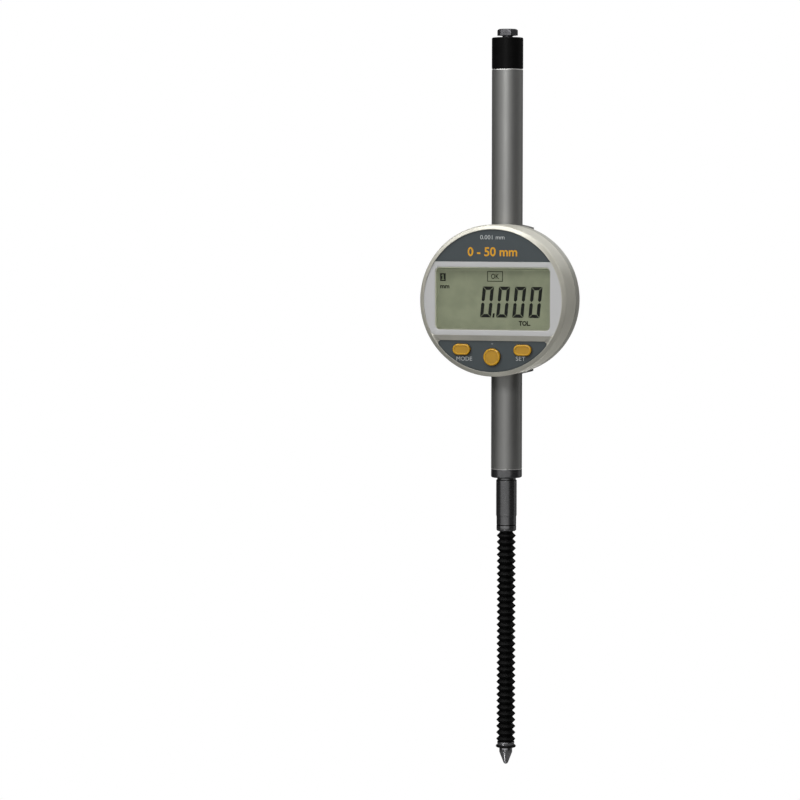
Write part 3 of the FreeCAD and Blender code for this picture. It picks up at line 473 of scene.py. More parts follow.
def lcd_film():
    """The display's olive grey ground, faintly mottled, with painted shade towards its top and painted light
    along its left and top edges.
    """
    finish = Finish("lcd_film", paint(138, 139, 122), Specular_IOR_Level=0.25)
    mottle = finish.noise(0.22, detail=5.0)
    # Painted shade: the ground darkens towards its top, where the frame's shadow falls.
    top = (finish.axis("Z") - HEAD_Z).rise(SHADE_FROM_Z, SHADE_FULL_Z)
    left_edge = low("window_lens").x + LENS_LAP
    top_edge = high("window_lens").z - LENS_LAP
    # Painted light: the ground is made pale along its left and top edges, against the frame's shadow there.
    left = 1 - finish.axis("X").rise(left_edge + 0.2, left_edge + 1.1)
    upper = finish.axis("Z").rise(top_edge - 1.6, top_edge)
    ground = finish.shaded((mottle.rise(0.3, 0.7) * 0.58 + top * 0.25).clipped(), 0.26)
    finish.feed(
        Base_Color=finish.mix((left * 0.72 + upper).clipped(), ground, paint(192, 195, 171)),
        Roughness=mottle * 0.1 + 0.5)
    return finish


def clear_window():
    """A thin clear cover: it lets the display through and keeps a faint reflection."""
    finish = Finish("clear_window", paint(235, 238, 232), roughness=0.06)
    facing = finish.node("Fresnel", {}, {"IOR": 1.45})
    haze = finish.noise(0.2, detail=2.0)
    clear = finish.node("BsdfTransparent", {}, {"Color": paint(250, 252, 248)})
    shown = finish.node("MixShader", {}, {
        0: (facing * 0.11 + haze * 0.002).clipped(), 1: clear, 2: Wire(finish, finish.shader.outputs[0])})
    finish.join(shown, finish.tree.nodes["Material Output"].inputs["Surface"])
    return finish


def amber_key():
    """Moulded amber plastic, with painted shade on its recessed top and on its foot."""
    finish = Finish("amber_key", paint(182, 136, 18), Specular_IOR_Level=0.42)
    clouds = finish.noise(0.35, detail=3.0)
    grain = finish.noise(8.0, detail=2.0)
    rim = low("mode_key").y
    depth = finish.axis("Y")
    # Painted shade: the recessed top and the foot of the key are made darker.
    dish_painted_shade = depth.rise(rim + 0.3 * KEY_DISH, rim + 0.9 * KEY_DISH)
    foot = depth.rise(rim + 0.5, rim + 1.1)
    finish.feed(
        Base_Color=finish.shaded((clouds.rise(0.3, 0.75) * 0.2 + dish_painted_shade * 0.4 + foot * 0.4).clipped(), 0.45),
        Roughness=grain * 0.1 + 0.30,
        Normal=finish.bump(grain, 0.002))
    return finish


def printed(name, colour):
    """Printing ink with a slightly uneven cover."""
    finish = Finish(name, colour, Specular_IOR_Level=0.12)
    cover = finish.noise(3.0, detail=3.0)
    finish.feed(Base_Color=finish.shaded(cover, 0.14), Roughness=cover * 0.1 + 0.45)
    return finish


def moulded(name, colour, roughness=0.45):
    """Plain moulded or coated inner piece with a fine grain."""
    finish = Finish(name, colour)
    grain = finish.noise(4.0, detail=2.0)
    finish.feed(
        Base_Color=finish.shaded(grain, 0.14),
        Roughness=grain * 0.15 + (roughness - 0.07),
        Normal=finish.bump(grain, 0.003))
    return finish


def scale_glass():
    """A ruled scale: fine dark lines across a pale strip."""
    finish = Finish("scale_glass", paint(176, 186, 184), roughness=0.15)
    lines = finish.node("Math", {"operation": "FRACT"}, {0: finish.axis("Z") * 2.5})
    finish.feed(Base_Color=finish.shaded(lines.rise(0.45, 0.55), 0.6))
    return finish


FINISHES = {
    "gunmetal": turned_steel("gunmetal", paint(112, 112, 113), 0.26, 0.2, 0.0012),
    "bush_bronze": turned_steel("bush_bronze", paint(188, 150, 96), 0.4),
    "polished_steel": turned_steel("polished_steel", paint(150, 150, 152), 0.17, 0.06, 0.0008),
    "satin_steel": satin_tube(),
    "black_plastic": sanded_black("black_plastic", paint(8, 8, 8), 0.42, 6.0, 0.006),
    "bolt_steel": turned_steel("bolt_steel", paint(82, 82, 84), 0.45, 0.2),
    "black_rubber": sanded_black("black_rubber", paint(14, 14, 14), 0.5, 5.0, 0.008),
    "spring_steel": turned_steel("spring_steel", paint(150, 150, 153), 0.3),
    "housing_paint": housing_coat(),
    "circuit_board": moulded("circuit_board", paint(28, 96, 56)),
    "scale_glass": scale_glass(),
    "dark_panel": dark_panel(),
    "silver_frame": silver_frame(),
    "clear_window": clear_window(),
    "lcd_film": lcd_film(),
    "white_plastic": moulded("white_plastic", paint(225, 225, 222)),
    "key_orange": amber_key(),
}
RUBBER_FOLDS = bellows_rubber()
REAR_COAT = rear_coat()
STEM_STEEL = turned_steel(
    "stem_steel", paint(112, 112, 113), 0.26, 0.2, 0.0012, groove=high("stem_end_ring").z)
COLLAR_STEEL = turned_steel("collar_steel", paint(114, 114, 115), 0.28, 0.3)
INK_PALE = printed("ink_pale", paint(178, 181, 180))
INK_AMBER = printed("ink_amber", paint(206, 150, 40))
INK_BLACK = printed("ink_black", paint(4, 4, 5))
INK_DIM = printed("ink_dim", paint(118, 122, 122))
INK_FAINT = printed("ink_faint", paint(36, 40, 33))
INK_GROUND = printed("ink_ground", paint(132, 138, 114))


def coat(piece, finish):
    piece.data.materials.clear()
    piece.data.materials.append(finish.material)


def finished(bm, name, body, slot, finish=None, stands_for=()):
    """Makes a bmesh, in metres and in place, a smooth shaded piece that rides on a body."""
    mesh = bpy.data.meshes.new(name)
    bm.to_mesh(mesh)
    bm.free()
    mesh.shade_smooth()
    mesh.set_sharp_from_angle(angle=math.radians(38))
    piece = bpy.data.objects.new(name, mesh)
    bpy.context.scene.collection.objects.link(piece)
    piece.modifiers.new("even_shading", "WEIGHTED_NORMAL").keep_sharp = True
    coat(piece, finish or FINISHES[slot])
    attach(piece, body)
    if stands_for:
        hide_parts(*stands_for)
    return piece


def soften(bm, width, picked=None, segments=3, angle=30):
    """Rounds the sharp edges of a bmesh, or those of them that are picked."""
    sharp = [e for e in bm.edges if e.is_manifold and e.calc_face_angle() > math.radians(angle)]
    chosen = [e for e in sharp if picked is None or picked(e)]
    bmesh.ops.bevel(
        bm, geom=chosen, offset=width * MM, offset_type="OFFSET", affect="EDGES",
        segments=segments, profile=0.5, material=-1, clamp_overlap=True)


def lathe(bm, outline):
    """Spins an outline of (radius, level) points in millimetres about the plunger axis."""
    points = [bm.verts.new((radius * MM, 0, level * MM)) for radius, level in outline]
    solid_core = outline[0][0] == 0 and outline[-1][0] == 0
    ring = points if solid_core else points + points[:1]
    edges = [bm.edges.new(pair) for pair in zip(ring, ring[1:])]
    bmesh.ops.spin(
        bm, geom=points + edges, cent=(0, 0, 0), axis=(0, 0, 1), angle=math.tau, steps=LATHE_STEPS,
        use_merge=True)
    bmesh.ops.remove_doubles(bm, verts=bm.verts, dist=0.0005 * MM)
    bmesh.ops.recalc_face_normals(bm, faces=bm.faces)


def turned(name, outline, body, slot, stands_for, finish=None, edge=EDGE_ROUND):
    """A piece spun from its outline, with its sharp edges a little rounded."""
    bm = bmesh.new()
    lathe(bm, outline)
    soften(bm, edge, segments=2)
    return finished(bm, name, body, slot, finish, stands_for)


def arc(centre, radius, start, end, steps=6):
    """Points of an arc in an outline, its angles in degrees from the radius axis."""
    turns = [math.radians(start + (end - start) * step / steps) for step in range(steps + 1)]
    return [(centre[0] + radius * math.cos(t), centre[1] + radius * math.sin(t)) for t in turns]


def clamping_stem():
    top = high("clamping_stem").z
    collar_low = low("tube_collar").z
    collar_high = high("tube_collar").z
    skirt_low = high("stem_end_ring").z
    skirt_r = high("stem_end_ring").x
    spigot_low = low("clamping_stem").z
    turned("clamping_stem_ground", [
        (BUSH_SEAT_R, spigot_low),
        (skirt_r - SPIGOT_STEP, spigot_low),
        (skirt_r - SPIGOT_STEP, skirt_low),
        (skirt_r - SKIRT_CHAMFER, skirt_low),
        (skirt_r, skirt_low + SKIRT_CHAMFER),
        (skirt_r, -STEM_HALF),
        (STEM_R, -STEM_HALF + STEM_STEP),
        (STEM_R, STEM_HALF),
        (NECK_R, STEM_HALF + STEM_CHAMFER),
        (NECK_R, collar_low),
        (STEM_R, collar_low),
        (STEM_R, collar_high),
        (TUBE_BORE_R, collar_high),
        (TUBE_BORE_R, top),
        (BUSH_SEAT_R, top),
    ], "carrier", "gunmetal", ["clamping_stem"], STEM_STEEL)


def stem_end_ring():
    bottom = low("stem_end_ring").z
    top = high("stem_end_ring").z
    outer = high("stem_end_ring").x
    bore = BELLOWS_VALLEY_R + RING_BORE_GAP
    seat = top - RING_SEAT_DEPTH
    turned("stem_end_ring_turned", [
        (bore, bottom),
        (outer - RING_CHAMFER, bottom),
        (outer, bottom + RING_CHAMFER),
        (outer, top - SKIRT_CHAMFER),
        (outer - SKIRT_CHAMFER, top),
        (outer - SPIGOT_STEP, top),
        (bore + RING_SEAT_STEP, seat),
        (bore, seat),
    ], "carrier", "gunmetal", ["stem_end_ring"], STEM_STEEL)


def tube_collar():
    bottom = low("tube_collar").z
    top = high("tube_collar").z
    outer = high("tube_collar").x
    lower_edge = arc((outer - COLLAR_ROUND, bottom + COLLAR_ROUND), COLLAR_ROUND, -90, 0)
    lap = top + COLLAR_LAP
    outline = [(STEM_R, bottom)] + lower_edge
    outline += [(outer, lap), (outer - LAP_WALL, lap), (outer - LAP_WALL, top), (STEM_R, top)]
    turned("tube_collar_blasted", outline, "carrier", "gunmetal", ["tube_collar"], COLLAR_STEEL)


def guide_tube():
    bottom = low("guide_tube").z
    top = high("guide_tube").z
    outer = high("guide_tube").x
    lap = bottom + COLLAR_LAP
    outline = [(TUBE_BORE_R, bottom), (outer - LAP_WALL, bottom), (outer - LAP_WALL, lap)]
    outline += arc((outer - TUBE_EDGE, lap + TUBE_EDGE), TUBE_EDGE, -90, 0)
    outline += arc((outer - TUBE_EDGE, top - TUBE_EDGE), TUBE_EDGE, 0, 90)
    outline += [(TUBE_BORE_R, top)]
    turned("guide_tube_satin", outline, "carrier", "satin_steel", ["guide_tube"])


def top_cap():
    bottom = low("top_cap").z
    seat = high("guide_tube").z
    top = high("top_cap").z
    outer = high("top_cap").x
    spigot = TUBE_BORE_R - CAP_SPIGOT_GAP
    outline = [(BOLT_HOLE_R, bottom), (spigot, bottom), (spigot, seat)]
    outline += [(outer - CAP_ROUND, seat), (outer, seat + 0.3 * CAP_ROUND)]
    outline += arc((outer - CAP_ROUND, top - CAP_ROUND), CAP_ROUND, 0, 90) + [(BOLT_HOLE_R, top)]
    turned("top_cap_moulded", outline, "carrier", "black_plastic", ["top_cap"])


def fold_outline():
    """The bellows' outer wall from its flange down to its cuff."""
    top = high("bellows").z
    bottom = low("bellows").z
    peak_r = high("bellows").x
    first = low("stem_end_ring").z - FIRST_PEAK_DROP
    flange_low = top - BELLOWS_FLANGE
    outline = [(BELLOWS_BORE_R, top), (BELLOWS_FLANGE_R, top)]
    outline += [(BELLOWS_FLANGE_R, flange_low), (BELLOWS_VALLEY_R, flange_low)]
    for fold in range(FOLDS):
        level = first - fold * FOLD_PITCH
        outline += [(BELLOWS_VALLEY_R, level + FOLD_PITCH / 2), (peak_r, level)]
    cuff_top = bottom + CUFF_HEIGHT
    outline += [(CUFF_NECK_R, cuff_top), (CUFF_R, cuff_top - CUFF_CHAMFER)]
    outline += [(CUFF_R, bottom), (BELLOWS_BORE_R, bottom)]
    return outline


def bellows():
    piece = turned(
        "bellows_folds", fold_outline(), "carrier", "black_rubber", ["bellows"], RUBBER_FOLDS, FOLD_ROUND)
    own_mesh(piece)


def bellows_clip():
    bottom = low("bellows_clip").z
    ring_top = low("bellows").z
    ring_low = ring_top - CLIP_RING
    outer = high("bellows_clip").x
    top = high("bellows_clip").z
    turned("bellows_clip_ring", [
        (CLIP_BORE_R, bottom),
        (CLIP_SLEEVE_R, bottom),
        (CLIP_SLEEVE_R, ring_low),
        (outer, ring_low),
        (outer, ring_top + CLIP_LIP),
        (CUFF_R + CLIP_GAP, ring_top + CLIP_LIP),
        (CUFF_R + CLIP_GAP, ring_top),
        (CLIP_SLEEVE_R, ring_top),
        (CLIP_SLEEVE_R, top),
        (CLIP_BORE_R, top),
    ], "plunger", "polished_steel", ["bellows_clip"])


def clip_oring():
    bottom = low("clip_oring").z
    top = high("clip_oring").z
    half = (top - bottom) / 2
    outer = high("clip_oring").x
    round_side = arc((outer - half, bottom + half), half, -90, 90, 10)
    outline = [(ORING_SEAT_R, bottom)] + round_side + [(ORING_SEAT_R, top)]
    turned("clip_oring_round", outline, "plunger", "black_rubber", ["clip_oring"])


def contact_point():
    tip = low("contact_point").z
    shoulder = low("bellows_clip").z
    ball = tip + BALL_R
    touch = (BALL_R * math.cos(CONE_LEAN), ball - BALL_R * math.sin(CONE_LEAN))
    cone_top = shoulder - POINT_BARREL
    cone_r = touch[0] + (cone_top - touch[1]) * math.tan(CONE_LEAN)
    top = high("contact_point").z
    outline = [(0, top), (POINT_SHANK_R, top), (POINT_SHANK_R, shoulder)]
    outline += [(POINT_R, shoulder), (POINT_R, cone_top), (cone_r, cone_top)]
    outline += arc((0, ball), BALL_R, -math.degrees(CONE_LEAN), -90, 10)[:-1] + [(0, tip)]
    turned(
        "contact_point_polished", outline, "plunger", "polished_steel", ["contact_point"], edge=POINT_ROUND)


def return_spring():
    """A coil of round wire inside the tube."""
    bottom = low("return_spring").z
    top = high("return_spring").z
    coil_r = high("return_spring").x - SPRING_WIRE_R
    rise = (top - bottom - 2 * SPRING_WIRE_R) / SPRING_TURNS
    foot = Matrix.Translation(Vector((coil_r, 0, bottom + SPRING_WIRE_R)) * MM)
    start = foot @ Matrix.Rotation(math.pi / 2, 4, "X")
    bm = bmesh.new()
    made = bmesh.ops.create_circle(
        bm, cap_ends=False, radius=SPRING_WIRE_R * MM, segments=SPRING_WIRE_SIDES, matrix=start)
    section = made["verts"] + list({e for v in made["verts"] for e in v.link_edges})
    steps = SPRING_TURN_STEPS * SPRING_TURNS
    bmesh.ops.spin(
        bm, geom=section, cent=(0, 0, 0), axis=(0, 0, 1), dvec=(0, 0, rise * SPRING_TURNS / steps * MM),
        angle=math.tau * SPRING_TURNS, steps=steps, use_merge=False)
    bmesh.ops.holes_fill(bm, edges=[e for e in bm.edges if e.is_boundary])
    bmesh.ops.recalc_face_normals(bm, faces=bm.faces)
    piece = finished(bm, "return_spring_coil", "carrier", "spring_steel", stands_for=["return_spring"])
    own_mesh(piece)


def smooth_copy(node, body, slot, edges=(), finish=None, reshape=None):
    """A merged copy of a node with its triangles paired up and chosen edges rounded."""
    bm = bmesh.new()
    bm.from_mesh(frame["nodes"][node].data)
    bmesh.ops.remove_doubles(bm, verts=bm.verts, dist=0.001 * MM)
    if reshape:
        reshape(bm)
    bmesh.ops.join_triangles(
        bm, faces=bm.faces, angle_face_threshold=math.radians(0.3), angle_shape_threshold=math.pi)
    for width, picked, segments in edges:
        soften(bm, width, picked, segments, 20)
    finished(bm, node + "_smooth", body, slot, finish, [node])


def head_radius(point):
    """How far a point in metres is from the head's axis, in millimetres."""
    return math.hypot(point.x, point.z - HEAD_Z * MM) / MM


def lengthen_spine_foot(bm):
    """Carries the spine's lower end a little past the round of the head, where painted shadow makes it black.
    """
    for vert in bm.verts:
        behind = vert.co.y / MM > 1
        below = vert.co.z / MM < HEAD_Z
        if behind and below and head_radius(vert.co) > SPINE_FOOT_R - SPINE_FOOT_BAND:
            vert.co.z -= SPINE_FOOT_LENGTH * MM


def on_bezel(edge):
    """The ring edges of the housing's rounded front rim."""
    front = low("front_housing").y
    return all(head_radius(v.co) > BEZEL_FROM_R and v.co.y / MM < front + BEZEL_DEPTH for v in edge.verts)


def on_cross_bar(edge):
    """The long edges of the bar between the display and the keys."""
    front = low("front_housing").y
    frame_low = low("display_frame").z
    keypad_top = high("keypad_panel").z
    level = [abs(v.co.y / MM - front) < LEVEL_TOLERANCE for v in edge.verts]
    near = [keypad_top - EDGE_TOLERANCE < v.co.z / MM < frame_low + EDGE_TOLERANCE for v in edge.verts]
    return all(level) and all(near)


def on_rear_rim(edge):
    """The rear body's outer rim, behind the seam."""
    return all(head_radius(v.co) > REAR_RIM_FROM_R and v.co.y / MM > -1 for v in edge.verts)


def shell_pieces():
    smooth_copy("front_housing", "display_head", "housing_paint", [
        (BEZEL_ROUND, on_bezel, 4), (BAR_ROUND, on_cross_bar, 3)])
    smooth_copy(
        "rear_body", "carrier", "housing_paint", [(REAR_ROUND, on_rear_rim, 3)], REAR_COAT, lengthen_spine_foot)
    smooth_copy("back_cover", "carrier", "housing_paint", [], REAR_COAT, lengthen_spine_foot)
    smooth_copy("cell_door", "display_head", "housing_paint")
    smooth_copy("data_port_cover", "display_head", "black_rubber")
    smooth_copy("display_frame", "display_head", "silver_frame", [(FRAME_ROUND, None, 2)])
    smooth_copy("upper_fascia", "display_head", "dark_panel")
    smooth_copy("keypad_panel", "display_head", "dark_panel")
    smooth_copy("cap_bolt", "carrier", "bolt_steel", [(BOLT_ROUND, None, 2)])
    smooth_copy("back_cover_screws", "carrier", "bolt_steel")
    smooth_copy("swivel_seal", "carrier", "black_rubber")


def pill(bm, width, height, x, z, front, back):
    """A bar along Y with half-round ends; it comes with its front face."""
    half_step = math.pi / PILL_STEPS
    turn = Matrix.Rotation(math.pi / 2, 4, "X") @ Matrix.Rotation(half_step, 4, "Z")
    place = Matrix.Translation(Vector((x, front, z)) * MM) @ turn
    made = bmesh.ops.create_circle(
        bm, cap_ends=True, radius=height / 2 * MM, segments=PILL_STEPS, matrix=place)
    reach = (width - height) / 2 * MM
    for vert in made["verts"]:
        vert.co.x += math.copysign(reach, vert.co.x - x * MM)
    face = made["verts"][0].link_faces[0]
    grown = bmesh.ops.extrude_face_region(bm, geom=[face], use_keep_orig=True)
    moved = [g for g in grown["geom"] if isinstance(g, bmesh.types.BMVert)]
    bmesh.ops.translate(bm, verts=moved, vec=(0, (back - front) * MM, 0))
    return face


def key(node, body):
    """A key with a rounded rim and a shallow dish, on its flange and leg."""
    lower = low(node)
    upper = high(node)
    x = (lower.x + upper.x) / 2
    z = (lower.z + upper.z) / 2
    width = upper.x - lower.x - 2 * KEY_FLANGE
    height = upper.z - lower.z - 2 * KEY_FLANGE
    front = lower.y
    seat = front + KEY_CAP_DEPTH
    bm = bmesh.new()
    top = pill(bm, width, height, x, z, front, seat)
    rim = list(top.edges)
    bmesh.ops.bevel(
        bm, geom=rim, offset=KEY_RIM_ROUND * MM, affect="EDGES", segments=5, profile=0.5, material=-1)
    top = min((f for f in bm.faces if abs(f.normal.y) > 0.99), key=lambda f: f.calc_center_median().y)
    bmesh.ops.inset_region(bm, faces=[top], thickness=KEY_RIM_WIDTH * MM)
    bmesh.ops.inset_region(bm, faces=[top], thickness=KEY_STEP_WIDTH * MM)
    bmesh.ops.translate(bm, verts=top.verts, vec=(0, KEY_DISH * MM, 0))
    pill(bm, width + 2 * KEY_FLANGE, height + 2 * KEY_FLANGE, x, z, seat, seat + KEY_FLANGE_THICKNESS)
    pill(bm, 2 * KEY_LEG_R, 2 * KEY_LEG_R, x, z, seat + KEY_FLANGE_THICKNESS, upper.y)
    bmesh.ops.recalc_face_normals(bm, faces=bm.faces)
    finished(bm, node + "_moulded", body, "key_orange", stands_for=[node])


def flat_print(name, mesh, finish):
    """Rides a thin print on the head."""
    piece = bpy.data.objects.new(name, mesh)
    bpy.context.scene.collection.objects.link(piece)
    coat(piece, finish)
    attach(piece, "display_head")


def words(name, text, centre, height, width, plane, finish, weight=0.0):
    """Lettering that faces the reader, of a given capital height and width in millimetres."""
    curve = bpy.data.curves.new(name, "FONT")
    curve.body = text
    curve.extrude = PRINT_HEIGHT / height / 2
    curve.offset = weight
    curve.resolution_u = 4
    source = bpy.data.objects.new(name, curve)
    bpy.context.scene.collection.objects.link(source)
    mesh = bpy.data.meshes.new_from_object(source)
    bpy.data.objects.remove(source)
    across = [v.co.x for v in mesh.vertices]
    up = [v.co.y for v in mesh.vertices]
    scale = height * MM / (max(up) - min(up))
    stretch = width * MM / (max(across) - min(across))
    middle = Matrix.Translation((-(min(across) + max(across)) / 2, -(min(up) + max(up)) / 2, 0))
    size = Matrix.Diagonal((stretch, scale, height * MM, 1))
    place = Matrix.Translation((centre[0] * MM, plane * MM, (HEAD_Z + centre[1]) * MM))
    mesh.transform(place @ Matrix.Rotation(math.pi / 2, 4, "X") @ size @ middle)
    flat_print(name, mesh, finish)


def plate(bm, corners, plane):
    """A thin flat plate with its corners given as (x, height) from the head's centre."""
    verts = [bm.verts.new((x * MM, plane * MM, (HEAD_Z + z) * MM)) for x, z in corners]
    face = bm.faces.new(verts)
    grown = bmesh.ops.extrude_face_region(bm, geom=[face], use_keep_orig=True)
    moved = [g for g in grown["geom"] if isinstance(g, bmesh.types.BMVert)]
    bmesh.ops.translate(bm, verts=moved, vec=(0, PRINT_HEIGHT * MM, 0))


def plates(name, shapes, plane, finish):
    """Flat printed shapes as one piece."""
    bm = bmesh.new()
    for corners in shapes:
        plate(bm, corners, plane)
    bmesh.ops.recalc_face_normals(bm, faces=bm.faces)
    mesh = bpy.data.meshes.new(name)
    bm.to_mesh(mesh)
    bm.free()
    flat_print(name, mesh, finish)


def round_rectangle(half_width, half_height, radius):
    """Points of a rectangle with round corners, from its middle."""
    points = []
    for turn, (side_x, side_z) in enumerate([(1, 1), (-1, 1), (-1, -1), (1, -1)]):
        corner = (side_x * (half_width - radius), side_z * (half_height - radius))
        points += arc(corner, radius, 90 * turn, 90 * turn + 90)
    return points


def window_rim_painted_light():
    """A thin ring in the film's colour on the lens front, just inside the silver frame: painted light over
    the shaded edge of the window.
    """
    middle = (low("window_lens") + high("window_lens")) / 2
    half = (high("window_lens") - low("window_lens")) / 2
    back = low("window_lens").y
    front = back - PRINT_HEIGHT
    grow = RIM_LAP - LENS_LAP
    shrink = grow - RIM_WIDTH
    outer = round_rectangle(half.x + grow, half.z + grow, WINDOW_CORNER + RIM_LAP)
    inner = round_rectangle(half.x + shrink, half.z + shrink, WINDOW_CORNER + RIM_LAP - RIM_WIDTH)
    bm = bmesh.new()
    loops = []
    for outline, plane in ((outer, front), (inner, front), (inner, back), (outer, back)):
        points = [Vector((middle.x + x, plane, middle.z + z)) * MM for x, z in outline]
        loops.append([bm.verts.new(point) for point in points])
    for near, far in zip(loops, loops[1:] + loops[:1]):
        for place in range(len(near)):
            bm.faces.new((near[place - 1], near[place], far[place], far[place - 1]))
    bmesh.ops.recalc_face_normals(bm, faces=bm.faces)
    mesh = bpy.data.meshes.new("window_rim_painted_light")
    bm.to_mesh(mesh)
    bm.free()
    flat_print("window_rim_painted_light", mesh, FINISHES["lcd_film"])


def segment_shapes(left, bottom):
    """The six outer bars of a seven-bar figure nought, leaning to the right."""
    half = DIGIT_STROKE / 2
    gap = DIGIT_GAP
    right = DIGIT_WIDTH
    top = DIGIT_HEIGHT
    middle = top / 2
    level_bar = [
        (gap, 0), (right - gap, 0),
        (right - DIGIT_STROKE - gap, DIGIT_STROKE), (DIGIT_STROKE + gap, DIGIT_STROKE)]
    upright = [
        (0, gap), (DIGIT_STROKE, DIGIT_STROKE + gap), (DIGIT_STROKE, middle - half - gap),
        (half, middle - gap), (0, middle - half - gap / 2)]
    bars = [level_bar, [(x, top - z) for x, z in level_bar]]
    for flip_x in (False, True):
        for flip_z in (False, True):
            bars.append([(right - x if flip_x else x, top - z if flip_z else z) for x, z in upright])
    return [[(left + x + z * DIGIT_SLANT, bottom + z) for x, z in bar] for bar in bars]


def box_outline(left, right, bottom, top, stroke):
    """Four strips round a rectangle."""
    spans = [
        (left, right, bottom, bottom + stroke),
        (left, right, top - stroke, top),
        (left, left + stroke, bottom + stroke, top - stroke),
        (right - stroke, right, bottom + stroke, top - stroke),
    ]
    return [[(x0, z0), (x1, z0), (x1, z1), (x0, z1)] for x0, x1, z0, z1 in spans]


def display_reading():
    """What the display shows: the reading, the unit and its small signs."""
    plane = low("lcd_glass").y - 2 * PRINT_HEIGHT
    shapes = []
    for place in range(DIGITS):
        shapes += segment_shapes(DIGIT_LEFT + place * DIGIT_PITCH, DIGIT_BOTTOM)
    shapes.append([(DIGIT_LEFT + x, DIGIT_BOTTOM + z) for x, z in DECIMAL_POINT])
    plates("reading_digits", shapes, plane, INK_BLACK)
    plates("sign_box", box_outline(*SIGN_BOX, SIGN_STROKE), plane, INK_FAINT)
    words("sign_ok", "OK", (0.66, 9.3), 2.0, 3.2, plane, INK_FAINT, 0.02)
    plates("channel_box", [CHANNEL_BOX], plane, INK_BLACK)
    plates("channel_number", CHANNEL_NUMBER, plane - PRINT_HEIGHT, INK_GROUND)
    words("unit", "mm", (-19.26, 5.15), 1.25, 3.7, plane, INK_BLACK, 0.04)
    words("tolerance_sign", "TOL.", (12.34, -8.5), 1.85, 4.6, plane, INK_BLACK, 0.045)


def panel_lettering():
    """Plain words and numbers printed on the two dark panels."""
    plane = low("upper_fascia").y - PRINT_HEIGHT
    words("mode_label", "MODE", (-11.0, -22.17), 1.55, 6.2, plane, INK_PALE)
    words("set_label", "SET", (11.2, -21.87), 1.55, 3.7, plane, INK_PALE)
    words("resolution_label", "0.001 mm", (0.0, 24.2), 1.6, 9.6, plane, INK_PALE)
    words("range_label", "0 - 50 mm", (0.0, 18.7), 3.5, 19.5, plane, INK_AMBER, weight=0.02)
    plates("key_mark", [KEY_MARK], plane, INK_DIM)


def dress_nodes():
    """Gives every node the finish of its material slot."""
    for row in frame["record"]["subparts"]:
        coat(frame["nodes"][row["node"]], FINISHES[row["material_slot"]])


def area_light(name, place, target, width, height, power, mirrored=True):
    """A rectangular softbox; one that isn't mirrored brightens dull surfaces and leaves no highlight."""
    light = bpy.data.lights.new(name, "AREA")
    light.shape = "RECTANGLE"
    light.size = width
    light.size_y = height
    light.energy = power
    lamp = bpy.data.objects.new(name, light)
    lamp.location = place
    lamp.rotation_euler = (Vector(target) - Vector(place)).to_track_quat("-Z", "Y").to_euler()
    lamp.visible_camera = False
    lamp.visible_glossy = mirrored
    bpy.context.scene.collection.objects.link(lamp)


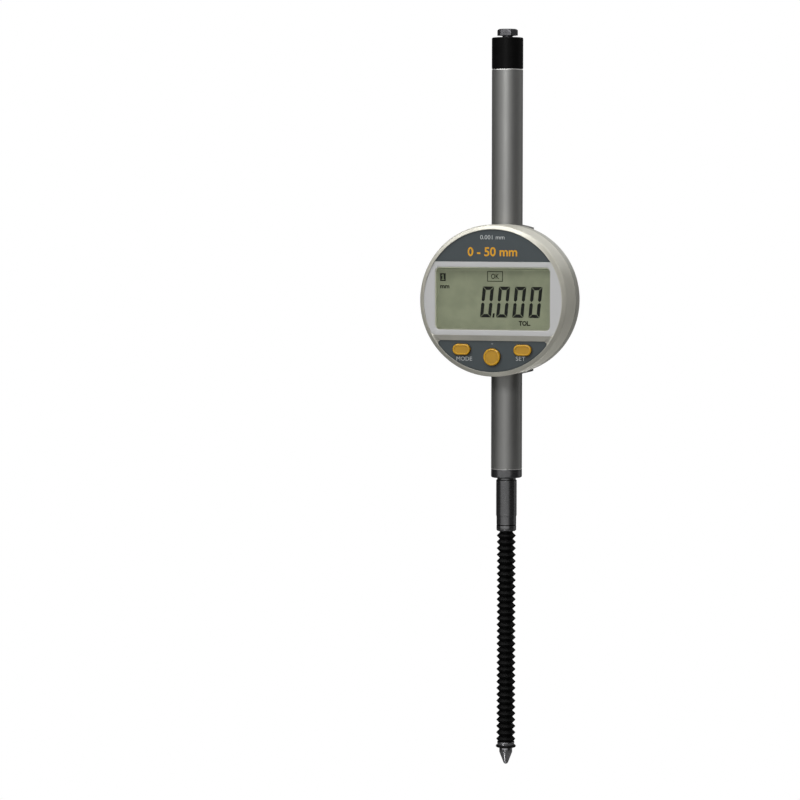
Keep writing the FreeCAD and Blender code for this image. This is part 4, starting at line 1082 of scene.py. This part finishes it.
def studio():
    """A wide softbox in front, brighter ones above it and weaker ones round about; the world is white to the
    camera and through clear pieces, and dim for everything else."""
    area_light("front_softbox", (-0.12, -1.25, 0.19), (0, 0, 0.06), 3.06, 0.92, 7.4)
    area_light("upper_softbox", (0.02, -1.10, 0.50), (0, 0, 0.10), 0.24, 0.24, 4.8)
    area_light("top_softbox", (-0.10, -0.42, 1.10), (0, 0, 0.08), 1.0, 0.45, 11.4)
    area_light("side_softbox", (1.30, 0.35, 1.00), (0, 0, 0.08), 0.7, 0.7, 2.2)
    area_light("right_softbox", (1.12, 0.94, 0.10), (0, 0, 0.06), 0.8, 1.2, 1.25)
    area_light("left_softbox", (-0.95, 1.10, 0.10), (0, 0, 0.06), 1.1, 1.2, 0.24)
    area_light("high_softbox", (0.55, 0.90, 1.10), (0, 0, 0.08), 0.9, 0.6, 5.5)
    area_light("shoulder_softbox", (0.42, -0.02, 1.00), (0, 0, 0.08), 0.4, 0.4, 4.0, mirrored=False)
    area_light("low_softbox", (0.12, 0.18, -0.33), (0, 0, 0.06), 0.3, 0.3, 3.3, mirrored=False)
    area_light("crown_softbox", (-0.72, -0.25, 0.74), (0, 0, 0.08), 0.35, 0.35, 2.2)
    area_light("cone_strip", (-0.076, -0.149, -0.30), (0, 0, -0.10), 0.03, 0.22, 0.10)
    area_light("ring_strip", (-0.013, -0.35, -0.167), (0, 0, -0.097), 0.012, 0.12, 0.04)
    area_light("back_softbox", (0.25, 1.30, 0.45), (0, 0, 0.08), 1.0, 0.8, 5.0, mirrored=False)
    area_light("back_strip", (0.04, 1.16, 0.36), (0, 0, 0.08), 0.55, 0.18, 0.34)
    area_light("back_low_strip", (-0.30, 1.16, -0.10), (0, 0, 0.06), 0.2, 0.2, 0.4)
    world = bpy.data.worlds.new("studio")
    bpy.context.scene.world = world
    world.use_nodes = True
    tree = world.node_tree
    path = tree.nodes.new("ShaderNodeLightPath")
    seen = tree.nodes.new("ShaderNodeMath")
    seen.operation = "MAXIMUM"
    tree.links.new(path.outputs["Is Camera Ray"], seen.inputs[0])
    tree.links.new(path.outputs["Is Transmission Ray"], seen.inputs[1])
    strength = tree.nodes.new("ShaderNodeMapRange")
    strength.inputs["To Min"].default_value = AMBIENT
    strength.inputs["To Max"].default_value = 1.0
    tree.links.new(seen.outputs[0], strength.inputs["Value"])
    background = tree.nodes["Background"]
    background.inputs["Color"].default_value = (1, 1, 1, 1)
    tree.links.new(strength.outputs[0], background.inputs["Strength"])


def floor():
    """A plain floor below the object, white to the camera and open from underneath."""
    bm = bmesh.new()
    level = CAD_BOX[0][2] - FLOOR_DROP
    place = Matrix.Translation((0, 0, level))
    bmesh.ops.create_grid(bm, x_segments=1, y_segments=1, size=FLOOR_HALF, matrix=place)
    mesh = bpy.data.meshes.new("floor")
    bm.to_mesh(mesh)
    bm.free()
    piece = bpy.data.objects.new("floor", mesh)
    bpy.context.scene.collection.objects.link(piece)
    finish = Finish("floor_white", paint(92, 92, 92), roughness=0.8)
    path = finish.node("LightPath", output="Is Camera Ray")
    under = finish.node("NewGeometry", output="Backfacing")
    white = finish.node("Emission", {}, {"Color": paint(255, 255, 255), "Strength": 1.0})
    lit = finish.node("MixShader", {}, {0: path, 1: Wire(finish, finish.shader.outputs[0]), 2: white})
    clear = finish.node("BsdfTransparent")
    shown = finish.node("MixShader", {}, {0: under, 1: lit, 2: clear})
    finish.join(shown, finish.tree.nodes["Material Output"].inputs["Surface"])
    coat(piece, finish)


def camera():
    """The photograph's view: from the right and slightly above, with a long lens."""
    lens = bpy.data.cameras.new("camera")
    lens.sensor_width = 36.0
    lens.lens = 132.6
    eye = bpy.data.objects.new("camera", lens)
    eye.location = (0.2945, -1.1042, 0.1199)
    eye.rotation_euler = (math.radians(85.9084), 0, math.radians(17.0119))
    bpy.context.scene.collection.objects.link(eye)
    bpy.context.scene.camera = eye


dress_nodes()
clamping_stem()
stem_end_ring()
tube_collar()
guide_tube()
top_cap()
bellows()
bellows_clip()
clip_oring()
contact_point()
return_spring()
shell_pieces()
key("mode_key", "mode_button")
key("set_key", "set_button")
key("centre_key", "centre_button")
window_rim_painted_light()
display_reading()
panel_lettering()
studio()
floor()
camera()
bpy.context.scene.view_settings.view_transform = "Standard"
